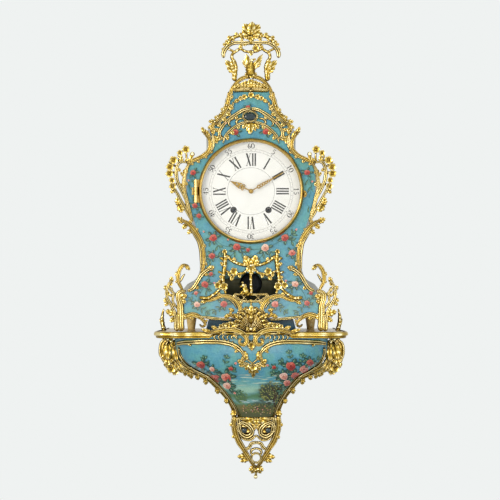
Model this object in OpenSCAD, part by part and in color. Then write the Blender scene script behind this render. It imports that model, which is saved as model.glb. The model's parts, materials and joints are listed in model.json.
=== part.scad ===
// Rococo pendulum clock standing on its matching wall bracket.
// Millimetres, Z up, the wall is the plane Y = 0 and the clock faces -Y.
// The origin is midway between the two hanging holes of the bracket.

/* [Bracket] */
// Width over the ends of the shelf
shelf_w = 460; // [440:2:480]
// Depth of the shelf from the wall
shelf_d = 200; // [194:1:220]
// Thickness of the shelf board
shelf_t = 14; // [10:1:18]
// Height of the shelf top above the hanging holes
shelf_up = 45; // [38:1:60]
// Width of the console body below the shelf
console_w = 380; // [360:2:400]
// Depth of the console body below the shelf
console_d = 186; // [176:1:190]
// Height of the painted console body from the shelf top
console_h = 214; // [190:2:240]
// Sideways set of the tail, as on the old hand-carved piece
tail_x = 13; // [-16:1:16]
// Height of the pierced terminal with its drop
terminal_h = 161; // [140:1:180]
// Thickness of the back board
back_t = 12; // [10:1:16]
// Spacing of the two hanging holes
pin_gap = 200; // [160:2:240]
// Radius of a hanging hole
pin_hole_r = 4; // [3:0.5:6]
// Width of the dark block on the shelf
plinth_w = 220; // [200:2:230]
// Height of the dark block on the shelf
plinth_h = 27; // [20:1:30]

/* [Case] */
// Width of the case front at its foot
case_w = 324; // [310:2:336]
// Height of the case front
case_h = 541; // [525:1:560]
// Depth of the case
case_d = 150; // [148:1:160]
// Height of the feet
foot_h = 36; // [34:1:44]
// Gap between the case and the wall
wall_gap = 12; // [6:1:20]
// Thickness of the front board
board_t = 10; // [8:0.5:12]
// Thickness of the case sides
side_t = 8; // [6:0.5:10]
// How far the sides spread towards the back
case_flare = 14; // [8:1:18]
// Thickness of the floor
floor_t = 10; // [8:1:14]
// Height of the lower rail of the back frame
back_rail_h = 82; // [70:1:84]
// Width of the back door
door_w = 176; // [150:2:184]
// Thickness of the back door
door_t = 6; // [5:0.5:7]

/* [Dial] */
// Height of the dial centre above the foot of the case front
dial_up = 302; // [292:1:312]
// Radius of the dial that shows inside the bezel
dial_r = 118; // [114:0.5:119]
// Outer radius of the bezel
bezel_r = 127; // [125:0.5:129]
// Depth of the bezel
bezel_d = 14; // [12:0.5:16]
// Thickness of the enamel dial
dial_t = 3; // [2:0.5:4]
// Thickness of the glass
glass_t = 2; // [1.5:0.25:3]
// Rise of the domed glass
glass_rise = 9; // [6:0.5:12]
// Length of the hour hand
hour_len = 57; // [50:1:64]
// Length of the minute hand
minute_len = 97.5; // [90:0.5:104]
// Thickness of the hands
hand_t = 1.2; // [0.8:0.1:1.6]
// Where the hour hand points, degrees clockwise from the top
hour_turn = 296; // [0:1:359]
// Where the minute hand points, degrees clockwise from the top
minute_turn = 60; // [0:1:359]
// Radius of a winding hole
wind_hole_r = 6; // [5.5:0.25:7]

/* [Movement] */
// Width of the movement plates
plate_w = 160; // [158:1:168]
// Thickness of a movement plate
plate_t = 2.6; // [2:0.2:3]
// Clear gap between the plates
plate_gap = 36; // [36:0.5:40]
// Gap between the dial and the front plate
dial_gap = 14; // [14:0.5:18]
// Sideways place of a barrel from the centre
barrel_x = 42; // [42:0.25:44]
// Drop of a barrel below the centre
barrel_z = 45; // [44:0.25:48]
// Length of a barrel drum
drum_l = 20; // [16:0.5:21]
// Radius of the winding arbors
wind_r = 3; // [2.5:0.1:3.4]
// Radius of the train arbors
arbor_r = 1.2; // [1:0.05:1.4]
// Radial clearance of a running fit
run_gap = 0.06; // [0.03:0.01:0.1]
// Pendulum length from its suspension to the middle of the bob
pendulum_l = 286; // [275:1:300]
// Radius of the pendulum bob
bob_r = 27; // [22:0.5:30]
// Thickness of the pendulum bob
bob_t = 12; // [8:0.5:14]
// Radius of the bell
bell_r = 42; // [36:0.5:44]
// Height of the bell
bell_h = 26; // [20:0.5:30]

/* [Hidden] */

// Colours of the object's own materials
gilt = "#d9a93a";
lacquer = "#4f9bb0";
dark_lacquer = "#16323f";
bare_oak = "#5a4632";
brass = "#c2a24c";
steel = "#8b9096";
enamel = "#f4f4ee";

// The ornament and the outlines are drawn on squared patterns, as a carver squares up a drawing.
// The case pattern is 135 squares wide and 225.4 high, and its foot is 15 squares above the shelf.
case_sx = case_w / 135;
case_sz = case_h / 225.4;
foot_row = 15;
// The console pattern is 158 squares wide and 89 deep, counted down from the shelf top.
console_sx = console_w / 158;
console_sz = console_h / 89;
shelf_sx = shelf_w / 192;
terminal_sz = terminal_h / 67;

back_y = -wall_gap;
front_y = -wall_gap - case_d;
board_back = front_y + board_t;
frame_t = 8;
frame_front = back_y - frame_t;
case_z = shelf_up + foot_h;
dial_z = case_z + dial_up;

seat_gap = 0.4;
dial_back = board_back - 3;
dial_face = dial_back - dial_t;
fp_y = dial_back + dial_gap;
fp_back = fp_y + plate_t;
bp_y = fp_back + plate_gap;
bp_back = bp_y + plate_t;

// Smooth curves, by the usual four-point rule, with n steps to a span
function four(a, b, c, d, t) =
    0.5 * (2 * b + (c - a) * t + (2 * a - 5 * b + 4 * c - d) * t * t + (3 * b - a - 3 * c + d) * t * t * t);
function curve(p, n) = let (m = len(p) - 1) [
    for (i = [0 : m - 1], j = [0 : n - 1]) four(p[max(i - 1, 0)], p[i], p[i + 1], p[min(i + 2, m)], j / n),
    p[m],
];
function unit(v) = v / max(norm(v), 0.000001);
function pick(w, f) = is_num(w) ? w
    : let (m = len(w) - 1, k = min(floor(f * m), m - 1)) w[k] + (w[k + 1] - w[k]) * (f * m - k);
function mirror_half(h) = concat(h, [for (i = [len(h) - 1 : -1 : 0]) if (h[i][0] > 0.001) [-h[i][0], h[i][1]]]);

// Front outline of the case on its pattern, right half, from the top centre to the foot
case_half = [
    [0, 240.4], [10, 240.4], [20.4, 240.4], [21.4, 232], [24.5, 221], [33.3, 212], [39.2, 205],
    [40.6, 197], [40.6, 184], [44, 176], [54.2, 171.5], [61.3, 167], [63.75, 157], [63.75, 137],
    [61.7, 127], [58.75, 117], [55.4, 107], [51.7, 97], [48.3, 82], [46.9, 70], [47.5, 60],
    [50.8, 50.8], [56.7, 45], [62.5, 42], [66, 36], [67.3, 26], [67.5, 15],
];
case_line = [for (p = curve(case_half, 2)) [p[0] * case_sx, case_z + (p[1] - foot_row) * case_sz]];
case_last = len(case_line) - 1;
// Outward direction at each point of that line
case_out = [for (i = [0 : case_last])
    let (t = unit(case_line[min(i + 1, case_last)] - case_line[max(i - 1, 0)]))
    i == 0 ? [0, 1] : i == case_last ? [1, 0] : [-t[1], t[0]]];
function case_offset(d) = [for (i = [0 : case_last])
    let (p = case_line[i] + case_out[i] * d) [i == 0 ? 0 : p[0], i == case_last ? case_z : p[1]]];

// The console body: rows of squares down, half width in squares and depth as a share of the top depth
console_rows = [
    [0, 79.5, 1], [-6, 79.5, 0.995], [-13, 79, 0.985], [-22, 78, 0.97], [-30, 74, 0.94], [-38, 63, 0.88],
    [-48, 47, 0.76], [-58, 38, 0.65], [-68, 30, 0.55], [-78, 24, 0.47], [-89, 19, 0.41],
];
console_fine = curve(console_rows, 2);
console_half_table = [for (i = [len(console_fine) - 1 : -1 : 0])
    [console_fine[i][0] * console_sz, console_fine[i][1] * console_sx]];
console_depth_table = [for (i = [len(console_fine) - 1 : -1 : 0])
    [console_fine[i][0] * console_sz, console_fine[i][2] * console_d]];
squareness = 3.6;
function tail_set(z) = let (f = min(max(-z / console_h, 0), 1)) tail_x * f * f * (3 - 2 * f);
function console_front(x, z) = let (
    w = lookup(z, console_half_table),
    d = lookup(z, console_depth_table),
    f = min(abs(x - tail_set(z)) / w, 0.985)
) -back_t - (d - back_t) * pow(1 - pow(f, squareness), 1 / squareness);

// Half plan of the shelf as shares of its half width and depth, from the wall to the middle of the front
shelf_half = [[0.9, 0], [0.93, 0.3], [0.985, 0.7], [0.975, 0.86], [0.9, 0.93], [0.7, 0.945],
    [0.45, 0.92], [0.2, 0.95], [0, 0.97]];
shelf_line = [for (p = curve(shelf_half, 2)) [p[0] * shelf_w / 2, -p[1] * shelf_d]];
function shelf_front(x) = let (f = abs(x) * 2 / shelf_w)
    -shelf_d * lookup(f, [[0, 0.97], [0.2, 0.95], [0.45, 0.92], [0.7, 0.945], [0.9, 0.93], [0.96, 0.88], [1, 0.8]]);

// Ornament. $sx and $sz are the sides of a square, $side is -1 for the viewer's left and 1 for the right,
// $on is what carries it: 0 the flat case front, 1 the console, 2 the front edge of the shelf,
// and $up is how far the work stands off its seat, in squares.
$side = 1;
$on = 0;
$up = 0;
function seat(x, z) = $on == 1 ? console_front(x, z) : $on == 2 ? shelf_front(x) : 0;
function place(p, up = 0) = let (
    z = p[1] * $sz,
    x = $side * p[0] * $sx + ($on == 1 ? tail_set(z) : 0)
) [x, seat(x, z) - (up + $up + (len(p) > 2 ? p[2] : 0)) * $sz, z];

half_round = [[1, 0], [0.5, 0.95], [-0.5, 0.95], [-1, 0]];
full_round = [[1, 0], [0.31, 0.95], [-0.81, 0.59], [-0.81, -0.59], [0.31, -0.95]];

// A band or stem along pattern points: w and d are half width and depth in squares,
// a number or a list of values from one end to the other
module band(pts, w, d = 1.4, n = 2, section = half_round, up = 0) {
    line = curve([for (p = pts) place(p, up)], len(pts) > 5 ? 1 : n);
    m = len(line) - 1;
    s = len(section);
    rings = [for (i = [0 : m])
        let (
            t = unit(line[min(i + 1, m)] - line[max(i - 1, 0)]),
            a = unit([t[2], 0, -t[0]]) * pick(w, i / m) * $sz,
            f = [0, -1, 0] * pick(d, i / m) * $sz
        )
        for (c = section) line[i] + a * c[0] + f * c[1]];
    sides = [for (i = [0 : m - 1], k = [0 : s - 1]) let (j = (k + 1) % s, a = i * s, b = a + s)
        each [[a + k, a + j, b + j], [a + k, b + j, b + k]]];
    ends = [[for (k = [s - 1 : -1 : 0]) k], [for (k = [0 : s - 1]) m * s + k]];
    polyhedron(rings, concat(sides, ends));
}
module twig(pts, r, n = 2, up = 0) band(pts, r, r, n, full_round, up);

// A pointed leaf from its root to its tip, w wide and d proud
module leaf(root, tip, w, d = 1.2, up = 0) {
    a = place(root, up);
    b = place(tip, up);
    t = unit(b - a);
    s = unit([t[2], 0, -t[0]]) * w * $sz / 2;
    m = a + (b - a) * 0.45;
    hull() polyhedron(
        [a, m - s, b, m + s, m + [0, -d * $sz, 0]],
        [[0, 1, 2, 3], [0, 4, 1], [1, 4, 2], [2, 4, 3], [3, 4, 0]]);
}
// Five petals round a raised heart
module flower(c, r, up = 0) {
    ring = [for (k = [0 : 9]) let (a = $side * 36 * k + 90, q = r * (k % 2 == 0 ? 1.05 : 0.6))
        place([c[0] + q * cos(a), c[1] + q * sin(a)], up)];
    fronts = [for (k = [0 : 9]) [(k + 1) % 10, k, 10]];
    polyhedron(concat(ring, [place(c, up + 1.3 + r * 0.2)]), concat(fronts, [[for (k = [0 : 9]) k]]));
}
module bead(c, r, up = 0) translate(place(c, up)) sphere(r * $sz, $fn = 6);
module both() {
    for ($side = [-1, 1]) children();
}

module on_case() {
    $on = 0;
    $sx = case_sx;
    $sz = case_sz;
    translate([0, front_y, case_z - foot_row * case_sz]) children();
}
module on_console() {
    $on = 1;
    $sx = console_sx;
    $sz = console_sz;
    translate([0, 0, shelf_up]) children();
}
module on_shelf() {
    $on = 2;
    $sx = shelf_sx;
    $sz = console_sz;
    translate([0, 0, shelf_up]) children();
}
// A flat piece in the plane of the clock, t thick, whose back face is at y
module slab(y, t) translate([0, y, 0]) rotate([90, 0, 0]) linear_extrude(t) children();
module at_dial(p = [0, 0]) translate([p[0], 0, dial_z + p[1]]) children();
// A round pin along Y from y0 to y1
module pin(r, y0, y1) translate([0, y0, 0]) rotate([-90, 0, 0]) cylinder(h = y1 - y0, r = r, $fn = 48);

/* Bracket */

module bracket_shelf() color(bare_oak)
    translate([0, 0, shelf_up - shelf_t]) linear_extrude(shelf_t)
        polygon(concat(shelf_line, [for (i = [len(shelf_line) - 2 : -1 : 0]) [-shelf_line[i][0], shelf_line[i][1]]]));

ring_n = 16;
module console_solid() {
    rows = [for (r = console_fine) let (z = min(r[0] * console_sz, -shelf_t)) [z, r]];
    used = [for (i = [0 : len(rows) - 1]) if (i == len(rows) - 1 || rows[i + 1][0] < rows[i][0] - 0.01) rows[i]];
    m = len(used) - 1;
    s = ring_n + 1;
    pts = [for (u = used) let (
            z = u[0],
            w = lookup(z, console_half_table),
            d = lookup(z, console_depth_table) - back_t
        )
        for (k = [0 : ring_n]) let (a = 180 * k / ring_n, e = 2 / squareness) [
            tail_set(z) + w * sign(cos(a)) * pow(abs(cos(a)), e),
            -back_t - d * pow(abs(sin(a)), e),
            shelf_up + z,
        ]];
    sides = [for (i = [0 : m - 1], k = [0 : s - 1]) let (j = (k + 1) % s, a = i * s, b = a + s)
        each [[a + k, b + k, b + j], [a + k, b + j, a + j]]];
    polyhedron(pts, concat(sides, [[for (k = [0 : s - 1]) k], [for (k = [s - 1 : -1 : 0]) m * s + k]]));
}
module bracket_body() color(lacquer) console_solid();

module bracket_back_board() color(bare_oak) {
    half = [for (i = [0 : len(console_fine) - 1]) let (z = console_fine[i][0] * console_sz)
        if (z <= -shelf_t) [lookup(z, console_half_table), z]];
    top = lookup(-shelf_t, console_half_table);
    difference() {
        slab(0, back_t) polygon(concat(
            [[top, shelf_up - shelf_t]],
            [for (p = half) [p[0] + tail_set(p[1]), shelf_up + p[1]]],
            [for (i = [len(half) - 1 : -1 : 0]) [tail_set(half[i][1]) - half[i][0], shelf_up + half[i][1]]],
            [[-top, shelf_up - shelf_t]]));
        for (s = [-1, 1]) translate([s * pin_gap / 2, 0, 0]) pin(pin_hole_r, -back_t - 1, 1);
    }
}

module bracket_plinth() color(dark_lacquer)
    translate([0, -wall_gap - 8, shelf_up]) rotate([90, 0, 0]) linear_extrude(case_d - 26)
        polygon([[-plinth_w / 2, 0], [plinth_w / 2, 0], [plinth_w / 2 - 7, plinth_h], [7 - plinth_w / 2, plinth_h]]);

// The gilt rim runs round the shelf, and crests and volutes rise at the middle of its front
rim_profile = [[0, -shelf_t], [5, -shelf_t + 1], [9, -shelf_t + 6], [7, -3], [4, 1.5], [0, 2]];
module rim_run() {
    n = len(shelf_line) - 1;
    path = concat(shelf_line, [for (i = [n - 1 : -1 : 0]) [-shelf_line[i][0], shelf_line[i][1]]]);
    m = len(path) - 1;
    s = len(rim_profile);
    pts = [for (i = [0 : m]) let (
            t = unit(path[min(i + 1, m)] - path[max(i - 1, 0)]),
            o = i == 0 ? [1, 0] : i == m ? [-1, 0] : [-t[1], t[0]]
        )
        for (c = rim_profile) [path[i][0] + o[0] * c[0], min(path[i][1] + o[1] * c[0], 0), shelf_up + c[1]]];
    sides = [for (i = [0 : m - 1], k = [0 : s - 1]) let (j = (k + 1) % s, a = i * s, b = a + s)
        each [[a + k, b + k, b + j], [a + k, b + j, a + j]]];
    polyhedron(pts, concat(sides, [[for (k = [0 : s - 1]) k], [for (k = [s - 1 : -1 : 0]) m * s + k]]));
}
module shelf_rim() color(gilt) {
    rim_run();
    on_shelf() both() {
        $up = 2;
        band([[46, -0.5], [38, 0.4], [31, 2.2], [22, 3.4], [13, 1.7], [6, -3], [4.3, -8], [6.6, -11.5], [10.6, -11],
            [11.8, -7.5], [9, -6]], [0.6, 1.2, 1.7, 1.9, 1.7, 1.3, 0.9], 2, 2);
        band([[40, 2], [32, 4.4], [24, 5.6], [16, 4.2]], [0.5, 1, 0.6], 1.6, 2);
        flower([24, 7], 2.6, 0.6);
        flower([30, 6.2], 2.1, 0.6);
        leaf([34, 3.6], [40, 6], 2.6, 1.2);
        leaf([20, 5], [13, 7], 2.6, 1.2);
        leaf([39.6, 0], [50, 4], 2.6, 1.4);
    }
}

module frieze_mounts() color(gilt) difference() {
    on_console() both() {
        $up = -0.5;
        band([[71, -11.6], [64, -10], [55, -9.2], [45, -8.6], [31, -8.8], [22, -10.4], [14.5, -13.8], [10, -18.4], [7.2, -24]],
            [0.8, 1, 1.1, 1.2, 1.3, 1.5, 0.4], [1.8, 1.8, 1.8, 2, 2.4]);
        for (p = [[33, -8.4], [28, -9], [23, -9.8], [18, -11.6]])
            band([p, p + [1.4, 1.1], p + [0, 2]], [0.6, 1, 0.5], 1.6, 2);
        leaf([9, -18], [5, -27], 3.6, 2.2);
        leaf([18, -11.6], [14, -17.5], 2.6, 2.6);
        leaf([64, -9.6], [60, -14.6], 2.4, 2);
        bead([2.4, -12], 1.4, 1.6);
        leaf([3, -7], [0.4, -18], 3.4, 2.6);
    }
    console_solid();
}

module bracket_corners() color(gilt) difference() {
    on_console() both() {
        $up = -1;
        // spur that rises past the shelf end
        twig([[79, -14, 1], [86, -6, 1], [89.5, 4, 0], [90.5, 13, -1], [89, 22, -1]], [1.8, 1.7, 1.6, 1.3, 0.4], 2);
        twig([[84, -6, 1], [89, 2, 0], [92, 8, 0], [93, 12, 0]], [1.2, 1, 0.8, 0.3], 2);
        // volute and acanthus below the shelf end
        band([[80, -4], [85, -3], [88, -7], [87, -12], [82.5, -12.5], [81, -9], [83.5, -7.6]],
            [1, 1.6, 1.9, 1.8, 1.5, 1.1, 0.7], 4, 2);
        band([[84, -8], [89.5, -14], [90.5, -22], [87, -31], [81, -38]], [1.4, 3, 3.4, 2.6, 0.8], 4.4, 2);
        leaf([80, -12], [78, -32], 7, 4);
        leaf([87, -22], [92.5, -31], 4, 2.6);
        leaf([86, -26], [89.5, -38], 5, 3);
        leaf([79, -30], [72, -44], 5, 3);
        flower([83.5, -39], 4, 2.4);
        flower([80, -42], 3.4, 2);
        flower([87, -33], 2.6, 2.6);
        band([[77, -14], [78.4, -22], [76, -31], [70, -38.6], [62, -42.6], [52, -43]],
            [1.2, 1.3, 1.3, 1.2, 1, 0.3], 2.6, 2);
        for (p = [[74, -33, 1], [70, -38, 1], [64, -41, 1]]) leaf(p, p + [2 - 0.04 * p[0], -8.4, 0], 3.4, 2);
    }
    console_solid();
    bracket_shelf();
}

module bracket_rails() color(gilt) difference() {
    on_console() both() {
        $up = -0.6;
        band([[80.5, -15], [80.3, -24], [76.5, -32], [70.5, -37.8], [61.5, -43], [52, -47], [45, -52], [37.5, -60],
            [31, -68], [25.5, -77], [21.6, -89]], [1.7, 1.8, 1.8, 1.7, 1.6, 1.5, 1.4, 1.3], 3.2);
        band([[74.5, -22], [71, -29], [66, -35.4], [57, -41], [47.5, -46], [39.5, -54], [33, -62], [27, -71],
            [22, -81], [19.4, -89]], [0.7, 1, 1.1, 1, 1, 0.9, 0.8], 3);
        for (p = [[[80, -26], [83.6, -33]], [[74, -34.6], [76.6, -42]], [[66, -40.6], [66.6, -47.6]],
            [[50, -48.6], [49, -55.6]], [[39, -58.4], [38, -65.6]]])
            leaf(p[0], p[1], 3.4, 2, 1);
    }
    console_solid();
}

module bracket_centre_mount() color(gilt) difference() {
    on_console() {
        $up = -0.6;
        both() {
            band([[7, -24], [3.6, -28], [0, -30.6]], [0.8, 0.9, 0.7], 1.8, 2);
            band([[12.5, -29], [7, -31.5], [0, -33.8]], [0.5, 1.3, 1.2], 2, 2);
            leaf([8, -31], [15, -27.6], 3.6, 1.6);
            leaf([7, -31.6], [13.5, -33.6], 3, 1.6);
            flower([6.4, -32.4], 2.6, 0.8);
            leaf([1, -35, 1], [4, -40, 1], 2.6, 1.4);
        }
        flower([0.2, -34.4], 3.4, 1);
        leaf([0.2, -34, 1], [0.4, -45, 1.4], 3.2, 1.8);
        bead([0.4, -43.4], 1.1, 1.8);
    }
    console_solid();
}

// Pierced terminal: it hangs from the foot of the body and falls back towards the wall
function terminal_y(z) = lookup(z, [[-terminal_h, -26], [-terminal_h * 0.7, -44], [0, console_front(tail_x, -console_h) + 16]]);
module bracket_terminal() color(gilt) difference() {
    terminal_casting();
    console_solid();
}
module terminal_casting() translate([tail_x, 0, shelf_up - console_h]) {
    $on = 3;
    $sx = console_sx;
    $sz = terminal_sz;
    both() {
        band(drop_back([[22, 0], [23, -8], [21.6, -17], [18.4, -26], [13, -34.6], [7.8, -43], [3.6, -50], [1, -54]]),
            [2, 1.9, 1.8, 1.7, 1.6, 1.5, 1.3, 0.9], 3, 2);
        band(drop_back([[19, 0], [17.6, -9], [15.6, -17], [10, -20.6], [5, -18.4], [4.6, -13.6], [9, -8.6], [15, -6.4],
            [18.4, -10], [18, -15], [14, -16.6], [11.4, -14]]), [1.2, 1.4, 1.5, 1.5, 1.4, 1.3, 1.1, 0.8], 2.6, 2);
        band(drop_back([[-1, -27.2], [4.6, -28.4], [7.6, -33], [12.8, -35]]), [0.9, 1.1, 1, 1], 2, 2);
        band(drop_back([[-1, -33.2], [4, -34.8], [5.4, -38], [3.6, -41]]), [0.8, 1, 0.8], 1.8, 2);
        leaf(drop_at([15, -6]), drop_at([2, -2]), 8, 3);
        leaf(drop_at([21.4, -7]), drop_at([27.6, -9.6]), 3.4, 2);
        leaf(drop_at([19.6, -18]), drop_at([24.4, -22.6]), 3, 2);
        leaf(drop_at([8.4, -41.6]), drop_at([20, -42]), 4, 2);
        leaf(drop_at([7, -44]), drop_at([17, -47]), 3.4, 2);
        leaf(drop_at([1, -53]), drop_at([7.6, -56.4]), 3.6, 2);
        leaf(drop_at([0.6, -54]), drop_at([4.4, -60]), 3, 2);
    }
    band([for (k = [0 : 12]) let (a = 378 * k / 12 - 9) drop_at([5 * cos(a), -43.6 + 5 * sin(a)])], 1, 2.2);
    leaf(drop_at([0, 0]), drop_at([0, -9]), 6, 3);
    band(drop_back([[-20, -0.6], [0, -1.6], [20, -0.6]]), 1.6, 2.6, 3);
    band(drop_back([[-17.8, -17.4], [-13, -23], [-6, -24.4], [0, -20.4], [6, -24.4], [13, -23], [17.8, -17.4]]),
        [0.7, 1.2, 1.1, 0.8, 1.1, 1.2, 0.7], 2);
    twig(drop_back([[0, -53], [0, -58], [-0.6, -63]]), [1.6, 0.8, 1.1], 2);
    bead(drop_at([-0.6, -64.6]), 2.2, 0);
}
function drop_at(p) = [p[0], p[1], -terminal_y(p[1] * terminal_sz) / terminal_sz];
function drop_back(pts) = [for (p = pts) drop_at(p)];

/* Case */

module case_face() polygon(mirror_half(case_line));
module aperture_shape() polygon([for (p = curve([[-26, 59], [26, 59], [27.5, 47], [24, 36], [12, 30], [-12, 30],
    [-24, 36], [-27.5, 47], [-26, 59]], 1)) [p[0] * case_sx, case_z + (p[1] - foot_row) * case_sz]]);

module case_front_board() color(lacquer) difference() {
    slab(board_back, board_t) case_face();
    at_dial() pin(bezel_r - 1.5, front_y - 1, board_back + 1);
    slab(board_back + 1, board_t + 2) aperture_shape();
}

// A case side is one bent board: front and back lines, outer and inner
module case_side(s) {
    outer0 = case_offset(0);
    outer1 = case_offset(case_flare);
    inner0 = case_offset(-side_t);
    inner1 = case_offset(case_flare - side_t);
    pts = [for (i = [0 : case_last])
        for (q = [[outer0[i], board_back], [outer1[i], frame_front], [inner1[i], frame_front], [inner0[i], board_back]])
            [s * max(q[0][0], 0), q[1], q[0][1]]];
    sides = [for (i = [0 : case_last - 1], k = [0 : 3]) let (j = (k + 1) % 4, a = i * 4, b = a + 4)
        each [[a + k, a + j, b + j], [a + k, b + j, b + k]]];
    faces = concat(sides, [[3, 2, 1, 0], [for (k = [0 : 3]) case_last * 4 + k]]);
    polyhedron(pts, s > 0 ? faces : [for (f = faces) [for (i = [len(f) - 1 : -1 : 0]) f[i]]]);
}
module case_side_left() color("#a9aaa0") case_side(-1);
module case_side_right() color("#a9aaa0") case_side(1);

foot_x = case_w / 2 - 14;
module case_floor() color(bare_oak) {
    front_half = case_w / 2 - side_t - 1;
    translate([0, 0, case_z]) linear_extrude(floor_t) polygon([
        [-front_half, board_back], [front_half, board_back],
        [front_half + case_flare, frame_front], [-front_half - case_flare, frame_front]]);
    for (s = [-1, 1]) translate([s * foot_x, frame_front - 16, shelf_up])
        cylinder(h = foot_h, r1 = 9, r2 = 14, $fn = 32);
}

door_low = case_z + back_rail_h;
door_side = door_w / 2;
door_top = dial_z + 96;
module door_shape(grow) {
    translate([-door_side - grow, door_low - grow]) square([door_w + 2 * grow, door_top - door_low + grow]);
    intersection() {
        translate([0, door_top]) circle(r = door_side + grow, $fn = 96);
        translate([-door_side - grow, door_top - 1]) square([door_w + 2 * grow, 40 + grow]);
    }
}
hinge_pin_r = 1.5;
door_axis = [door_side + 5, back_y + 3.4];
module case_back_frame() color(bare_oak) {
    difference() {
        slab(back_y, frame_t) polygon(mirror_half(case_offset(case_flare)));
        slab(back_y + 1, frame_t + 2) door_shape(1);
    }
    for (z = [door_low + 30, door_top - 60]) hinge_barrel(door_axis, z, 9, back_y, 3.2);
    for (z = [door_low + 30, door_top - 60])
        translate([door_axis[0], door_axis[1], z - 9.4]) cylinder(h = 28, r = hinge_pin_r, $fn = 32);
}
// A hinge barrel on a leaf that reaches back to the face at y
module hinge_barrel(p, z, h, y, r) {
    translate([p[0], p[1], z]) cylinder(h = h, r = r, $fn = 48);
    translate([p[0], y, z]) cube([16, 2.2, h]);
}
module back_door() color(dark_lacquer) {
    slab(back_y, door_t) door_shape(-0.6);
    for (z = [door_low + 30, door_top - 60], k = [-9.4, 9.4]) difference() {
        union() {
            translate([door_axis[0], door_axis[1], z + k]) cylinder(h = 9, r = 3.2, $fn = 48);
            translate([door_axis[0] - 16, back_y, z + k]) cube([16, 2.2, 9]);
        }
        translate([door_axis[0], door_axis[1], z + k - 1]) cylinder(h = 11, r = hinge_pin_r + run_gap, $fn = 48);
    }
    translate([12 - door_side, back_y, dial_z]) rotate([-90, 0, 0]) cylinder(h = 6, r1 = 4, r2 = 5, $fn = 32);
}

/* Gilt mounts of the case */

module crown_bower() color(gilt) on_case() {
    $up = 2.4;
    both() {
        twig([[16.6, 250], [15.6, 258], [15, 264], [16.4, 269], [18.8, 273], [18.6, 276.6], [15.6, 279.4], [12, 281]],
            [1.7, 1.6, 1.4, 1.3, 1.2, 1.1, 0.9], 2);
        twig([[27.1, 273], [27.6, 277.4], [25.6, 282], [22, 285.6], [17, 288], [10, 288.4], [3.4, 288], [0.4, 287]],
            [1.4, 1.6, 1.5, 1.4, 1.3, 1.3, 1.4], 2);
        twig([[25, 282.6, 0.4], [21.6, 289.6, 1], [17, 293.4, 1], [11, 295], [3, 293.6]], [0.7, 1.3, 1.5, 1, 0.8], 2);
        twig([[25, 283], [20.4, 281], [16.4, 279.4], [10.6, 282], [5.6, 279.6], [0, 279]], [0.7, 0.9, 1, 1, 1], 2);
        leaf([15, 259], [26, 270.4], 4.6, 1.6);
        leaf([15.2, 258], [24, 264.6], 4, 1.6);
        leaf([24, 286], [28, 286.6], 2.4, 1.2, 0.6);
        leaf([19.6, 291], [22.6, 294.6], 3, 1.4, 0.6);
        leaf([14, 293.6], [14.6, 298], 3, 1.4, 0.4);
        leaf([1.2, 295], [8.6, 300], 4.6, 1.6);
        leaf([1, 296], [6.6, 306], 5.6, 1.8);
        leaf([8.4, 295], [9.8, 289.4], 2.6, 1.2, 0.2);
        leaf([11.4, 281.6], [9, 287.4], 2.8, 1.2, 0.2);
    }
    leaf([0, 294], [0, 310.5], 6, 2);
    twig([[0, 286], [0.4, 291], [0, 297]], [1.6, 2, 1.2], 2);
    flower([4.6, 282.6], 3, 0.8);
    leaf([0, 281], [0.4, 275], 3, 1.2);
}

module crown_figure() color(gilt) on_case() {
    $up = 2.6;
    twig([[0, 254], [-0.4, 258], [-0.6, 263], [0, 267], [1.4, 270]], [3.2, 3.6, 4.2, 3, 1.4], 2);
    bead([0.8, 270.4], 2, 0.4);
    leaf([2, 271], [4.6, 272], 1.6, 0.8);
    leaf([-3, 264], [-6.8, 276.4], 5.6, 1.6);
    leaf([-2.6, 263], [-8, 271], 3.6, 1.2);
    leaf([1.2, 264], [12.6, 275], 5, 2.4);
    leaf([1.4, 263], [9.6, 269], 3.6, 2);
    leaf([-2, 258], [-6, 255], 3.4, 1.2);
    leaf([2, 258], [5.6, 254.6], 3.4, 1.2);
}

module crown_rocaille() color(gilt) on_case() {
    $up = 0.2;
    both() {
        band([[0, 254.4, 1.4], [7, 253.6, 1.2], [13, 250, 1], [18.2, 243.6, 0.4], [20.4, 238], [21.4, 230]],
            [1.4, 1.5, 1.5, 1.4, 1.4, 1.2], 2.2, 2);
        band([[0, 242.4, 1], [9, 242, 1], [18, 241, 0.6]], [1.3, 1.3, 1.2], 2.2, 2);
        for (k = [0 : 4])
            leaf([3.4 * k, 243], [3.6 * k + 1.6, 252.4 - 1.5 * k], 4.2, 2, 0.8);
        leaf([0, 244], [2.4, 251], 3.6, 2, 1.8);
        leaf([7, 243], [9, 248], 3.4, 1.8, 1.8);
    }
}

module crown_corners() color(gilt) on_case() both() {
    $up = 0.2;
    band([[21.6, 240], [22.6, 232], [24.8, 224], [29, 217], [34, 211.6], [38.4, 205.6], [40, 199]],
        [1.2, 1.6, 1.8, 1.8, 1.7, 1.5, 0.8], 2.4, 2);
    band([[17.4, 230], [19, 224.6], [23.4, 218], [29.4, 211.4], [34.6, 205]], [0.6, 1, 1.2, 1, 0.4], 2, 2);
    leaf([23.6, 226], [17.6, 222], 3.4, 1.8);
    leaf([26.4, 220], [20.6, 215.4], 3.6, 1.8);
    leaf([30.4, 214.6], [25, 210.6], 3.4, 1.8);
    leaf([34, 209], [30.4, 204.6], 3.2, 1.8);
    leaf([24, 222], [30.6, 221.4], 3, 1.6);
    leaf([30.6, 214], [37, 213.6], 3, 1.6);
    leaf([35.6, 210], [42.6, 209.4], 3, 1.6);
    leaf([37.6, 206], [43.6, 203.4], 2.6, 1.4);
}

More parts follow.
